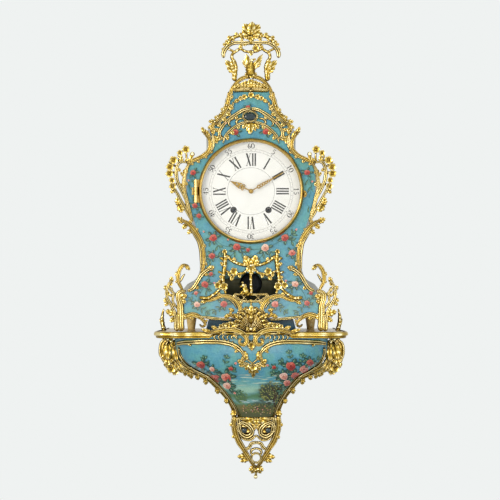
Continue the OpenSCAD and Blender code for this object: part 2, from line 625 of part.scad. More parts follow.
module crest_mount() color(gilt) on_case() {
    $up = 0.2;
    both() {
        band([[0, 222.8, 1], [7, 221.6, 0.8], [12.6, 218.6], [18, 215], [23.6, 210.6], [28.4, 205.4], [31.6, 199],
            [30.4, 193.6], [27, 193.4]], [1.1, 1.3, 1.4, 1.4, 1.3, 1.3, 1.2, 0.9], 2, 2);
        band([[3, 209.6], [9.6, 208], [16, 204.6], [21.6, 200], [26, 194.6], [28, 188]],
            [0.8, 1.1, 1.2, 1.2, 1, 0.4], 1.8, 2);
        band([[8, 213], [12, 212.6], [14.6, 209.6], [12.6, 206.8], [9.8, 208]], [0.7, 0.9, 0.9, 0.7], 1.6, 2);
        leaf([4.4, 209.4], [8, 202.6], 3.2, 1.8);
        leaf([29, 196], [34.6, 190.6], 3.6, 1.8);
        leaf([31, 200], [36, 203], 2.6, 1.4);
        leaf([20, 201.6], [17.4, 196.4], 2.8, 1.4);
        flower([6.6, 234.4], 2.3, 0.4);
        flower([10.4, 233], 2, 0.4);
        leaf([12, 231.6], [17, 229.6], 2.6, 1.2);
        band([[0, 236], [6, 233.6], [12, 232], [16.6, 228.6]], [0.6, 0.8, 0.6, 0.3], 1.2, 2);
    }
    flower([0, 236.2], 2.6, 0.6);
    leaf([0, 209.6], [0, 198], 4, 2);
    band([for (k = [0 : 14]) let (a = 360 * k / 14) [-1 + 7 * cos(a), 215 + 5.2 * sin(a)]], 0.8, 2.2, 1);
}
module crest_stone() color(dark_lacquer) on_case() {
    steps = [[0, 1], [0.5, 0.93], [1, 0.62]];
    for (k = [0 : 1])
        hull() for (j = [k, k + 1])
            translate([-case_sx, 0, 215 * case_sz]) rotate([90, 0, 0]) translate([0, 0, steps[j][0] * 4])
                linear_extrude(0.4) scale([steps[j][1] * 6.1 * case_sx, steps[j][1] * 4.3 * case_sz])
                    circle(r = 1, $fn = 20);
}

module shoulder_mounts() color(gilt) on_case() both() {
    $up = 0.2;
    band([[48.6, 201], [44.8, 196.6], [41.2, 191.4], [40.6, 185.6], [42.2, 180.6], [46.6, 176.4], [53, 173.2],
        [59, 170.4], [64.4, 167.4]], [0.4, 1.1, 1.4, 1.6, 1.7, 1.6, 1.4, 1.3, 1.1], 2.4, 2);
    band([[38.6, 198], [37.8, 192], [38.2, 185], [39.6, 180]], [0.6, 1.2, 1.3, 0.6], 2, 2);
    leaf([44.6, 196.4], [49.6, 204], 2.8, 1.6);
    leaf([41, 192], [44.6, 201.6], 2.4, 1.4);
    leaf([37.6, 196], [34.4, 187.6], 3.4, 1.8);
    leaf([39.6, 190], [36.6, 184.6], 2.8, 1.6);
    leaf([47, 176.6], [43.6, 173.6], 2.4, 1.4);
    leaf([39, 181.4], [41, 178], 2.4, 1.4);
    leaf([54, 172.4], [51.4, 168.6], 2.4, 1.2);
    leaf([38.6, 196.6], [36.4, 204], 2.6, 1.4);
}

module dial_side_mounts() color(gilt) on_case() both() {
    $up = 0.3;
    band([[58.4, 110], [64, 120.4], [69.2, 129.2], [73, 136.8], [76.6, 143.4], [79.4, 149]],
        [0.8, 1.2, 1.3, 1.1, 1, 0.6], 1.8, 2);
    band([[58.4, 110], [62.2, 123], [64.8, 133.4], [66.8, 141], [67, 151], [65.6, 158.8], [63.4, 165], [60, 168.6]],
        [0.8, 1.3, 1.4, 1.4, 1.3, 1.3, 1.2, 0.8], 2.2, 2);
    band([[64, 130], [69.4, 141], [73.8, 151.4], [74.6, 162], [71, 169.4], [64, 169]],
        [0.8, 1.1, 1.2, 1.2, 1.1, 0.7], 1.8, 2);
    band([[66, 168.6], [64.6, 174], [65, 181]], [0.6, 0.7, 0.6], 1.4, 2);
    band([[67, 169], [72, 171], [77, 171.2]], [0.7, 0.8, 0.6], 1.4, 2);
    band([[74.4, 156], [77.6, 159.4], [81, 158.6]], [0.6, 0.8, 0.6], 1.4, 2);
    band([[74, 164], [78, 166.6], [81, 164.6]], [0.6, 0.8, 0.6], 1.4, 2);
    band([[72, 148], [75, 147.4], [77.6, 145.8]], [0.6, 0.7, 0.5], 1.4, 2);
    flower([65, 182], 3.4, 0.6);
    flower([77.4, 171.4], 3.6, 0.6);
    flower([81, 164.6], 3.4, 0.6);
    flower([81.4, 158], 3.4, 0.6);
    flower([78.2, 145.4], 3.2, 0.6);
    bead([58.6, 177.4], 2.4, 0.6);
    leaf([61.6, 166.6], [58, 177.6], 3.4, 1.6);
    leaf([72, 127.4], [67.8, 120], 5, 2.2, 0.2);
    leaf([72.4, 126], [73.6, 134.6], 4, 1.8, 0.2);
    leaf([70, 168], [69.4, 176.6], 3, 1.4, 0.2);
    leaf([66.6, 142], [70.6, 148.6], 2.6, 1.2, 0.2);
    leaf([65.6, 156], [71, 158.6], 2.6, 1.2, 0.2);
    leaf([76, 143], [80, 138], 2.8, 1.4, 0.2);
}

module waist_mounts() color(gilt) on_case() both() {
    $up = 0.3;
    band([[71.4, 111.4], [66, 110.2], [60, 105.8], [55, 99.6], [51, 93], [48.6, 86.4], [47.4, 78], [47.2, 70],
        [48.4, 62], [50.6, 58]], [0.6, 1.4, 1.8, 1.7, 1.5, 1.4, 1.3, 1.2, 0.8], 2.4, 2);
    band([[60.6, 102.6], [55.6, 95], [52, 88], [50.4, 79], [50, 69.6], [50.4, 62.6]],
        [0.5, 0.9, 1, 1, 0.9, 0.5], 2, 2);
    leaf([67, 109.6], [74, 113.4], 3.4, 1.6);
    leaf([64, 107.6], [69, 103.4], 3.2, 1.6);
    leaf([59, 103], [63.4, 97.4], 3, 1.6);
    leaf([52, 93], [49, 87], 2.4, 1.4);
    leaf([49.6, 88], [45, 84.6], 2.6, 1.4);
    leaf([48, 72], [44.4, 66], 2.4, 1.4);
    band([[38, 64], [43.6, 61.8], [49.4, 57], [53.6, 50], [58, 43.6], [63.6, 40.8]],
        [0.9, 1.5, 1.5, 1.4, 1.4, 1.2], 2.4, 2);
    leaf([44, 62], [36.4, 65.4], 3.4, 1.6);
    leaf([48, 59], [42.4, 56.6], 2.8, 1.4);
}

module aperture_trellis() color(gilt) on_case() {
    $up = 0.7;
    both() {
        twig([[26, 80.6, 0.8], [25.8, 71, 0.8], [26.8, 61, 0.8], [28, 54.6, 0.8], [27.4, 47, 0.8]],
            [1.2, 1.5, 1.6, 1.5, 1.2], 2);
        twig([[31.4, 74, 0.8], [28.6, 73, 0.8], [26.2, 70, 0.8]], [1.1, 1, 0.9], 1);
        twig([[33, 60.4, 0.8], [29.6, 59, 0.8], [27, 58, 0.8]], [0.9, 0.8, 0.8], 1);
        twig([[51.6, 34.6, 0.8], [43.6, 34, 0.8], [36.6, 37.8, 0.8], [31, 43, 0.8], [27.6, 46.4, 0.8]],
            [1.2, 1.3, 1.2, 1.1, 0.9], 2);
        twig([[31, 42.6, 0.8], [34.2, 47.6, 0.8]], [0.9, 0.7], 1);
        twig([[27.6, 46, 0.6], [25, 38, 0.6]], [1.1, 1], 1);
        twig([[24.4, 76.4, 0.8], [18.4, 71, 0.8], [10, 67.4, 0.8], [0, 66.7, 0.8]], [1.3, 1.2, 1.2, 1.3], 2);
        twig([[1.4, 65.4, 1], [7.2, 59.2, 1], [14, 57.8, 1], [18.6, 55.4, 1]], [1, 1, 1, 1], 2);
        twig([[26.6, 62, 0.6], [22, 59.6, 0.6], [16, 58.6, 0.6]], [0.8, 0.8, 0.6], 1);
        flower([27, 45.8], 3.4, 1.4);
        flower([33.4, 46.6], 2.8, 1.2);
        flower([17.2, 60.6], 3.2, 0.9);
        leaf([1, 66], [6.4, 76.4], 4.8, 1.6, 0.8);
        leaf([18, 56], [20.4, 52.4], 2.4, 1.2, 0.8);
        leaf([0.6, 66], [4.6, 60.6], 3.2, 1.6, 1.4);
        leaf([26, 66], [31, 69.4], 2.8, 1.2, 0.8);
    }
    leaf([0, 66], [0, 57], 4, 2, 1.2);
}

module aperture_group() color(gilt) on_case() {
    $up = 0.3;
    // pole, then the little dog crouched on the basin
    twig([[-0.2, 60, 0.6], [0, 48, 0.6], [0, 36, 0.6]], 1.1, 2);
    twig([[-3.6, 36.4, 1.2], [-5, 40, 1.4], [-6, 43.4, 1.6], [-7.4, 46, 1.6]], [2.4, 2.6, 2, 1.4], 2);
    bead([-7.6, 46.4], 2.3, 1.8);
    leaf([-8.4, 46.6], [-13.6, 43.6], 2.6, 1.6, 1.6);
    leaf([-6.6, 47.6], [-4.6, 43], 2, 1.2, 2);
    twig([[-6.6, 41, 1.4], [-9.4, 38.4, 1.4], [-11, 36.6, 1.2]], [1, 0.9, 0.8], 1);
    leaf([-3, 38], [0.6, 42], 2.2, 1, 1);
    both() {
        band([[0, 37.4], [9, 37.6], [17.4, 37.8]], 0.8, 1.6, 1);
        band([[17.4, 37.6], [13, 33.4], [8, 31], [0, 30.4]], [0.8, 0.9, 1, 1], 1.8, 2);
        band([[4, 37], [7.6, 33.6], [9, 31.4]], 0.5, 1.2, 1);
        band([[9.6, 37], [6, 33.6], [3, 30.6]], 0.5, 1.2, 1);
        leaf([15, 38], [17.6, 34.6], 2, 1.2, 0.4);
        leaf([2, 37.4], [6.4, 40.4], 2.2, 1.2, 0.6);
    }
    band([[0, 30.4], [0, 26]], 0.8, 1.2, 1);
    leaf([-2, 31], [2, 31], 2, 1, 0.6);
}

module panel_scrolls() color(gilt) on_case() both() {
    $up = 0.3;
    band([[50.6, 35], [43.6, 31.8], [36.6, 33.2], [29.6, 36], [21.2, 35.2], [14.2, 30.3], [10.7, 23.2],
        [12.8, 17.6], [17.6, 15.6], [20.6, 18.4], [19, 21.6]], [0.8, 1.3, 1.4, 1.4, 1.5, 1.5, 1.4, 1.2, 0.9], 2, 2);
    band([[30.6, 35], [22.6, 33], [17, 28.4], [14, 23]], [0.4, 0.8, 0.8, 0.5], 1.6, 2);
    leaf([20, 17], [27, 15.4], 3, 1.4);
    leaf([44, 32], [50.6, 28.6], 2.8, 1.4);
    leaf([12, 27], [8, 31.6], 2.6, 1.4);
    leaf([17, 21], [22.6, 23.4], 2.4, 1.2);
    leaf([30, 36], [34.6, 39.6], 2.6, 1.2);
}

module apron_shell() color(gilt) on_case() {
    $up = 1;
    both() {
        for (k = [1 : 5]) {
            reach = 24.5 - 1.6 * k;
            a = 90 - 13.5 * k;
            band([[0.6 * k, 1.2], [reach * 0.45 * cos(a) + 1, reach * 0.52 * sin(a) + 1.4],
                [reach * cos(a + 3), reach * sin(a + 3) + 1.6 - k * 0.4],
                [reach * cos(a - 7) + 1.2, reach * sin(a - 7) - 0.4 - k * 0.5]], [0.9, 1.4, 1.7, 0.5], [3, 3, 2.4, 1.2], 2);
        }
        leaf([13, 6], [23.4, 8.8], 3.4, 2.4);
        leaf([9, 11], [17.6, 18.6], 3.4, 2.4);
    }
    band([[0, 1.2], [0, 12], [0, 25.6]], [1.2, 1.8, 1.2], [3.4, 3.2, 1.8], 2);
    bead([0, 3], 2.4, 2);
    for (k = [-1, 1]) leaf([0, 4], [4.4 * k, 1.4], 4, 3, 1);
    leaf([0, 8], [0, 20], 2.6, 4, 1);
}

module foot_mount() on_case() {
    $up = 0.4;
    // trunk from the shelf to the lower shoulder
    band([[69.6, 0.8, 0.6], [70.3, 8], [70.6, 18], [70.8, 27], [72.6, 34], [71.4, 39], [65, 41.4]],
        [3, 2.4, 2.6, 2.4, 2, 1.9, 1.2], [3.6, 3, 3, 2.8, 2.4], 2);
    band([[73.8, 0.7, 0.4], [74.6, 6], [75, 13], [76.4, 20], [80, 27], [83.6, 34], [84.2, 41.6], [81.6, 48.6], [77.4, 51.2]],
        [2, 1.6, 1.2, 1.1, 1.1, 1, 1, 1, 0.6], 1.8, 2);
    band([[71, 33], [76, 38], [80.6, 42], [82, 48]], [0.9, 0.9, 0.8, 0.5], 1.6, 2);
    band([[72, 22], [78, 30], [77.6, 38], [80, 45]], [0.8, 0.9, 0.8, 0.6], 1.6, 2);
    // hook over the shoulder
    band([[62.6, 66.6], [68, 66.4], [72.2, 60], [72.8, 51], [69.6, 44], [68, 40]],
        [0.5, 1.3, 1.5, 1.4, 1.2, 0.8], 2, 2);
    band([[66, 58], [68.6, 54.6], [70.6, 50]], [0.5, 0.9, 0.5], 1.4, 2);
    // foot arch with its curl
    band([[66, 15], [59, 17.4], [51, 14.6], [45.8, 8.4], [48.6, 5.4], [51.6, 8]],
        [1.6, 1.8, 1.6, 1.3, 1, 0.6], 2.4, 2);
    band([[52, 15.4], [41, 14.3], [27, 13.4], [17.6, 14.4]], [0.9, 1.1, 1.1, 0.8], 2, 2);
    leaf([74, 18], [85.8, 20.4], 4.4, 2);
    leaf([76, 14.6], [81, 10], 3.4, 1.6);
    leaf([84, 34], [87.6, 30], 2.6, 1.2);
    leaf([84, 42], [86.8, 46.4], 2.8, 1.2);
    leaf([80, 50], [78.6, 55.4], 2.8, 1.2);
    leaf([72.6, 33], [64, 37.4], 4.6, 2.4);
    leaf([71, 30], [64.6, 30.6], 3.4, 2);
    leaf([72, 60], [76, 56.4], 2.6, 1.2);
    leaf([66, 66.6], [60.4, 62.4], 2.8, 1.4);
    leaf([70, 20], [66, 12], 3.4, 2.6);
    leaf([79, 29], [75, 25.6], 2.6, 1.2);
}
module foot_mount_left() color(gilt) {
    $side = -1;
    foot_mount();
}
module foot_mount_right() color(gilt) {
    $side = 1;
    foot_mount();
}

/* Bezel, glass and dial */

bezel_back = front_y - seat_gap;
bezel_front = bezel_back - bezel_d;
hinge_x = -bezel_r - 5;
hinge_y = front_y - 6.4;
hinge_r = 5;
hinge_h = 18;
rebate_r = dial_r + 2;
rebate_y = 5;
glass_y = rebate_y - 0.1;
// The bezel section, radius then distance in front of its back face
module bezel() color(gilt) {
    difference() {
        at_dial() translate([0, bezel_back, 0]) rotate([90, 0, 0]) rotate_extrude($fn = 128) polygon([
            [rebate_r, 0], [bezel_r, 0], [bezel_r, bezel_d * 0.4], [bezel_r - 1.4, bezel_d * 0.62],
            [bezel_r - 3.6, bezel_d * 0.86], [bezel_r - 5.4, bezel_d], [bezel_r - 7, bezel_d * 0.94],
            [dial_r, bezel_d * 0.62], [dial_r, rebate_y], [rebate_r, rebate_y]]);
        translate([hinge_x, hinge_y, dial_z - hinge_h * 1.6]) cylinder(h = hinge_h * 3.2, r = hinge_r + seat_gap, $fn = 48);
    }
    for (k = [-1, 1]) difference() {
        union() {
            translate([hinge_x, hinge_y, dial_z + k * (hinge_h + seat_gap) - hinge_h / 2])
                cylinder(h = hinge_h, r = hinge_r, $fn = 48);
            translate([hinge_x, hinge_y - 2, dial_z + k * (hinge_h + seat_gap) - hinge_h / 2]) cube([9, 4, hinge_h]);
        }
        translate([hinge_x, hinge_y, dial_z + k * (hinge_h + seat_gap) - hinge_h / 2 - 1])
            cylinder(h = hinge_h + 2, r = hinge_pin_r + run_gap, $fn = 48);
    }
}
module bezel_hinge() color(gilt) {
    translate([hinge_x, hinge_y, dial_z - hinge_h / 2]) cylinder(h = hinge_h, r = hinge_r, $fn = 48);
    translate([hinge_x - 10, front_y - 2, dial_z - hinge_h / 2]) cube([10, 2, hinge_h]);
    translate([hinge_x, hinge_y, dial_z - hinge_h * 1.5 - 2]) cylinder(h = hinge_h * 3 + 4, r = hinge_pin_r, $fn = 48);
}
module bezel_catch() color(gilt) {
    translate([bezel_r, bezel_back, dial_z - 7]) rotate([90, 0, 0]) linear_extrude(bezel_d * 0.4)
        polygon([[0.02, -9], [5, -6], [7.4, 0], [5, 6], [0.02, 9]]);
    translate([bezel_r + 3.4, bezel_back - bezel_d * 0.4, dial_z - 7]) rotate([90, 0, 0])
        cylinder(h = 3, r1 = 3, r2 = 2.2, $fn = 32);
}
// The glass sits in the bezel rebate and rises in a shallow dome
module bezel_glass() color("#dfe8e8", 0.35) at_dial() translate([0, bezel_back, 0]) rotate([90, 0, 0])
    rotate_extrude($fn = 128) polygon(concat(
        [[rebate_r - 0.2, glass_y - glass_t], [rebate_r - 0.2, glass_y]],
        [for (k = [0 : 8]) let (r = (dial_r - 0.3) * (1 - k / 8)) [r, glass_y + glass_rise * (1 - pow(r / dial_r, 2))]],
        [for (k = [8 : -1 : 0]) let (r = (dial_r - 0.3) * (1 - k / 8))
            [r, glass_y - glass_t + glass_rise * (1 - pow(r / dial_r, 2))]]));

module dial_plate() color(enamel) at_dial() difference() {
    union() {
        pin(bezel_r - 2.5, dial_face, dial_back);
        for (a = [90, 215, 325]) translate([70 * cos(a), 0, 66 * sin(a)]) pin(2, dial_back, fp_y);
    }
    pin(cannon_r + 3.4, dial_face - 1, dial_back + 1);
    for (s = [-1, 1]) translate([s * barrel_x, 0, -barrel_z]) pin(wind_hole_r, dial_face - 1, dial_back + 1);
}

/* Hands and motion work */

cannon_r = 2.4;
hour_y = dial_face - 3.2;
minute_y = hour_y - hand_t - 1.4;
module hour_hand() color(gilt) at_dial() rotate([0, hour_turn, 0]) slab(hour_y, hand_t) difference() {
    union() {
        circle(r = cannon_r + 3, $fn = 48);
        translate([-1.4, cannon_r + 1]) square([2.8, hour_len * 0.3]);
        translate([0, hour_len * 0.52]) circle(r = 7.2, $fn = 40);
        for (s = [-1, 1]) translate([s * 4.6, hour_len * 0.37]) circle(r = 3.4, $fn = 32);
        translate([0, hour_len * 0.6]) polygon([[-6.4, 0], [6.4, 0], [3, hour_len * 0.2], [0, hour_len * 0.4], [-3, hour_len * 0.2]]);
    }
    circle(r = cannon_r + 0.9 + run_gap, $fn = 48);
    translate([0, hour_len * 0.66]) circle(r = 2.2, $fn = 24);
    for (s = [-1, 1]) translate([s * 3.2, hour_len * 0.5]) circle(r = 1.9, $fn = 24);
    for (s = [-1, 1]) translate([s * 4.8, hour_len * 0.37]) circle(r = 1.5, $fn = 24);
}
module minute_hand() color(gilt) at_dial() rotate([0, minute_turn, 0]) slab(minute_y, hand_t) difference() {
    union() {
        circle(r = cannon_r + 2, $fn = 48);
        translate([-1.3, 1]) square([2.6, minute_len * 0.3]);
        for (k = [0 : 4]) translate([0, minute_len * (0.22 + 0.07 * k)]) circle(r = 4.7 - 0.25 * k, $fn = 32);
        translate([0, minute_len * 0.5]) polygon([[-1.9, 0], [1.9, 0], [1.3, minute_len * 0.36], [0, minute_len * 0.5],
            [-1.3, minute_len * 0.36]]);
    }
    circle(r = cannon_r - 0.8, $fn = 48);
    for (k = [0 : 4]) translate([0, minute_len * (0.22 + 0.07 * k)]) circle(r = 1.9 - 0.15 * k, $fn = 24);
}

// Spur gear outline with slender teeth, tooth 0 centred on angle ph
tooth_up = 0.5;
tooth_down = 0.9;
module gear_shape(n, m, ph = 0) {
    r = n * m / 2;
    p = 360 / n;
    polygon([for (i = [0 : n - 1]) each
        [for (c = [[-0.2, -tooth_down], [-0.1, tooth_up], [0.1, tooth_up], [0.2, -tooth_down]])
            let (a = ph + p * (i + c[0]), q = r + c[1] * m) [q * cos(a), q * sin(a)]]]);
}
// A crossed-out wheel: teeth, rim, spokes and hub
module wheel_shape(n, m, ph, hub, arms = 5) {
    r = n * m / 2;
    rim = r - tooth_down * m - r * 0.1;
    difference() {
        gear_shape(n, m, ph);
        for (k = [0 : arms - 1]) intersection() {
            difference() {
                circle(r = rim, $fn = 96);
                circle(r = hub, $fn = 48);
            }
            polygon([for (a = [-150 / arms, 0, 150 / arms]) 2 * r * [cos(a + 360 * k / arms), sin(a + 360 * k / arms)],
                hub * 0.4 * [cos(360 * k / arms), sin(360 * k / arms)]]);
        }
    }
}
function toward(a, b) = atan2(b[1] - a[1], b[0] - a[0]);
// Places of the arbors from the dial centre
centre_at = [0, 0];
going_at = [barrel_x, -barrel_z];
strike_at = [-barrel_x, -barrel_z];
inter_to_centre = 29;
going_mesh = 40;
// The intermediate arbor stands where its two centre distances cross
function meet(a, b, ra, rb, s) = let (d = norm(b - a), x = (d * d + ra * ra - rb * rb) / (2 * d),
    h = sqrt(max(ra * ra - x * x, 0)), u = (b - a) / d) a + u * x + s * h * [-u[1], u[0]];
inter_at = meet(centre_at, going_at, inter_to_centre, going_mesh, 1);
pin_at = [-inter_at[0], inter_at[1]];
third_at = [-12, 22.5];
third_dist = norm(third_at);
escape_at = [0, 39.7];
escape_dist = norm(escape_at - third_at);
anchor_at = [0, 61.7];
hammer_at = [-54, 8];
motion_at = [13, 9.3];
motion_dist = norm(motion_at);

great_n = 72;
pinion_n = 10;
inter_n = 60;
centre_n = 64;
small_n = 8;
third_n = 80;
escape_n = 42;
cannon_n = 10;
minute_n = 30;
motion_pinion_n = 10;
hour_n = 40;
great_m = 2 * going_mesh / (great_n + pinion_n);
inter_m = 2 * inter_to_centre / (inter_n + pinion_n);
centre_m = 2 * third_dist / (centre_n + small_n);
third_m = 2 * escape_dist / (third_n + small_n);
cannon_m = 2 * motion_dist / (cannon_n + minute_n);
hour_m = 2 * motion_dist / (motion_pinion_n + hour_n);

great_y = bp_y - 6;
inter_y = fp_back + 4.4;
centre_y = fp_back + 10.6;
third_y = fp_back + 20.6;
escape_y = fp_back + 29;
wheel_t = 1.6;
gear_t = 2;

module cannon_wheel() color(brass) at_dial() {
    difference() {
        union() {
            slab(fp_y - 2.4, gear_t) gear_shape(cannon_n, cannon_m, toward(centre_at, motion_at));
            pin(cannon_r, minute_y - 0.2, fp_y - 3);
            pin(cannon_r - 0.8, minute_y - hand_t - 0.6, minute_y);
        }
        pin(arbor_r + run_gap, minute_y - 4, fp_y + 1);
    }
    translate([0, minute_y - hand_t - 0.6, 0]) rotate([90, 0, 0]) cylinder(h = 2.6, r1 = 3.4, r2 = 2, $fn = 48);
}
module motion_wheel() color(brass) at_dial(motion_at) difference() {
    union() {
        slab(fp_y - 2.4, gear_t) wheel_shape(minute_n, cannon_m, toward(motion_at, centre_at) + 180 / minute_n, 3.4, 4);
        slab(fp_y - 4.3, 4) gear_shape(motion_pinion_n, hour_m, toward(motion_at, centre_at));
    }
    pin(arbor_r + run_gap, fp_y - 10, fp_y + 1);
}
module hour_wheel() color(brass) at_dial() difference() {
    union() {
        slab(fp_y - 5.2, gear_t - 0.4) wheel_shape(hour_n, hour_m, toward(centre_at, motion_at) + 180 / hour_n, 5, 4);
        pin(cannon_r + 0.9, hour_y - hand_t, fp_y - 5.2);
    }
    pin(cannon_r + run_gap, hour_y - 3, fp_y - 1);
}

/* Movement */

plate_low = -barrel_z - 40;
plate_high = 72;
plate_half = plate_w / 2;
corner_in = 8;
corners = [[-1, 1], [1, 1], [-1, -1], [1, -1]];
function corner(c) = [c[0] * (plate_half - corner_in), c[1] > 0 ? plate_high - corner_in : plate_low + corner_in];
module plate_body() {
    translate([-plate_half, plate_low + corner_in]) square([plate_w, plate_high - plate_low - 2 * corner_in]);
    translate([corner_in - plate_half, plate_low]) square([plate_w - 2 * corner_in, plate_high - plate_low]);
    for (c = corners) translate(corner(c)) circle(r = corner_in, $fn = 48);
}
pivots = [centre_at, inter_at, third_at, escape_at, anchor_at, pin_at, hammer_at];
module plate_holes(y) {
    for (p = pivots) translate([p[0], 0, p[1]]) pin(arbor_r + run_gap, y - 1, y + plate_t + 1);
    for (p = [going_at, strike_at]) translate([p[0], 0, p[1]]) pin(wind_r + run_gap, y - 1, y + plate_t + 1);
}
module front_plate() color(brass) at_dial() {
    difference() {
        slab(fp_back, plate_t) plate_body();
        plate_holes(fp_y);
    }
    translate([motion_at[0], 0, motion_at[1]]) pin(arbor_r, fp_y - 7, fp_y);
}
module back_plate() color(brass) at_dial() difference() {
    slab(bp_back, plate_t) plate_body();
    plate_holes(bp_y);
    translate([anchor_at[0], 0, anchor_at[1]]) pin(arbor_r + 3, bp_y - 1, bp_back + 1);
}
module pillars() color(brass) at_dial() for (c = corners) translate([corner(c)[0], fp_back, corner(c)[1]])
    rotate([-90, 0, 0]) rotate_extrude($fn = 48) polygon([[0, 0], [4, 0], [4, 2], [2.6, 4], [2.6, plate_gap / 2 - 4],
        [3.6, plate_gap / 2], [2.6, plate_gap / 2 + 4], [2.6, plate_gap - 4], [4, plate_gap - 2], [4, plate_gap], [0, plate_gap]]);

// Two bars across the back of the front board hold the movement by spacers
strap_z = [52, -70];
strap_half = bezel_r - 3;
module movement_straps() color(steel) at_dial() for (z = strap_z) {
    translate([-strap_half, board_back, z - 5]) cube([2 * strap_half, 3, 10]);
    for (s = [-1, 1]) {
        translate([s * (plate_half - 12), 0, z]) pin(3, board_back + 3, fp_y);
        translate([s * (strap_half - 5), 0, z]) pin(3, board_back + 3, board_back + 5);
    }
}

module barrel(at) at_dial(at) difference() {
    union() {
        slab(great_y, gear_t) gear_shape(great_n, great_m, toward(at, at[0] > 0 ? inter_at : pin_at));
        pin(great_m * great_n / 2 - 5, great_y - gear_t - drum_l, great_y - gear_t);
    }
    pin(wind_r + run_gap, great_y - gear_t - drum_l - 1, great_y + 1);
}
module winder(at) at_dial(at) {
    pin(wind_r, fp_y - 6, bp_back + 2);
    translate([-wind_r * 0.7, dial_back - 2, -wind_r * 0.7]) cube([wind_r * 1.4, fp_y - 6 - dial_back + 2, wind_r * 1.4]);
    difference() {
        slab(bp_back + 2, 1.6) gear_shape(18, 0.9);
        pin(wind_r * 0.5, bp_back - 1, bp_back + 1);
    }
}
module going_barrel() color(brass) barrel(going_at);
module strike_barrel() color(brass) barrel(strike_at);
module going_winder() color(steel) winder(going_at);
module strike_winder() color(steel) winder(strike_at);
// An arbor with both pivots in the plates
module arbor(r = arbor_r) {
    pin(r, fp_y + 0.2, bp_back - 0.2);
    pin(r + 0.9, fp_back + 1, bp_y - 1);
}
module going_wheel() color(brass) at_dial(inter_at) {
    arbor();
    slab(inter_y, wheel_t) wheel_shape(inter_n, inter_m, toward(inter_at, centre_at), 5);
    slab(great_y + 1, gear_t + 2) gear_shape(pinion_n, great_m, toward(inter_at, going_at) + 180 / pinion_n);
}
module centre_wheel() color(brass) at_dial() {
    pin(arbor_r, minute_y - hand_t, bp_back - 0.2);
    pin(arbor_r + 0.9, fp_back + 1, bp_y - 1);
    slab(inter_y + 1, wheel_t + 2) gear_shape(pinion_n, inter_m, toward(centre_at, inter_at) + 180 / pinion_n);
    slab(centre_y, wheel_t) wheel_shape(centre_n, centre_m, toward(centre_at, third_at), 5);
}
module third_wheel() color(brass) at_dial(third_at) {
    pin(arbor_r, fp_y + 0.2, bp_back - 0.2);
    slab(centre_y + 1, wheel_t + 2) gear_shape(small_n, centre_m, toward(third_at, centre_at) + 180 / small_n);
    slab(third_y, wheel_t) wheel_shape(third_n, third_m, toward(third_at, escape_at), 4);
}
escape_r = 14;
module escape_wheel() color(brass) at_dial(escape_at) {
    pin(arbor_r, fp_y + 0.2, bp_back - 0.2);
    slab(third_y + 1, wheel_t + 2) gear_shape(small_n, third_m, toward(escape_at, third_at) + 180 / small_n);
    slab(escape_y, 1.2) difference() {
        polygon([for (i = [0 : escape_n - 1]) each let (a = 360 * i / escape_n, p = 360 / escape_n)
            [escape_r * [cos(a), sin(a)], (escape_r - 2) * [cos(a + p * 0.35), sin(a + p * 0.35)],
                (escape_r - 2) * [cos(a + p * 0.9), sin(a + p * 0.9)]]]);
        for (k = [0 : 3]) rotate(90 * k + 45) translate([escape_r * 0.5, 0]) circle(r = 3, $fn = 32);
    }
}
pendulum_y = bp_back + 13;
crutch_l = 70;
anchor_gap = 1.9;
module anchor_crutch() color(steel) at_dial(anchor_at) {
    reach = norm(anchor_at - escape_at);
    pin(arbor_r, fp_y + 0.2, bp_back + 6);
    // arms bend round the wheel and end in two pallets
    slab(escape_y + 0.4, 2) difference() {
        union() {
            circle(r = 4, $fn = 48);
            polygon([[-3, 2], [3, 2], [15.4, -9], [15.4, -17], [12.6, -17], [12.4, -11], [0, -3.4], [-12.4, -11],
                [-12.6, -17], [-15.4, -17], [-15.4, -9]]);
        }
        translate([0, -reach]) circle(r = escape_r + anchor_gap, $fn = 96);
    }
    // the crutch hangs behind the back plate and forks round the rod
    translate([0, bp_back + 4.6, 0]) {
        difference() {
            translate([0, 0, 0]) rotate([-90, 0, 0]) cylinder(h = 1.4, r = 3.4, $fn = 32);
            pin(arbor_r * 0.5, -1, 0.5);
        }
        translate([-1.2, 0, -crutch_l]) cube([2.4, 1.4, crutch_l - 2]);
        for (s = [-1, 1]) translate([s * (rod_r + 1.5) - 1, 0, -crutch_l - 2])
            cube([2, pendulum_y + rod_r + 1 - bp_back - 4.6, 4]);
        translate([-rod_r - 2.5, 0, -crutch_l - 2]) cube([2 * rod_r + 5, 1.4, 4]);
    }
}
rod_r = 1.6;
module suspension_cock() color(brass) at_dial(anchor_at) {
    difference() {
        translate([-9, bp_back, 5]) cube([18, 3, 14]);
        for (s = [-1, 1]) translate([6 * s, 0, 12]) pin(1.2, bp_back + 1, bp_back + 4);
    }
    translate([-4, bp_back + 3, 10]) cube([8, pendulum_y + 3 - bp_back - 3, 4]);
    translate([-0.2, pendulum_y - 2, 3]) cube([0.4, 4, 7]);
}
rod_low = -pendulum_l - bob_r - 12;
module pendulum_rod() color(steel) at_dial(anchor_at) {
    translate([0, pendulum_y, 0]) {
        translate([-2.6, -2.6, -8]) difference() {
            cube([5.2, 5.2, 9]);
            translate([2.2, -1, 5]) cube([0.8, 8, 5]);
        }
        translate([0, 0, rod_low]) cylinder(h = -8 - rod_low, r = rod_r, $fn = 32);
    }
}
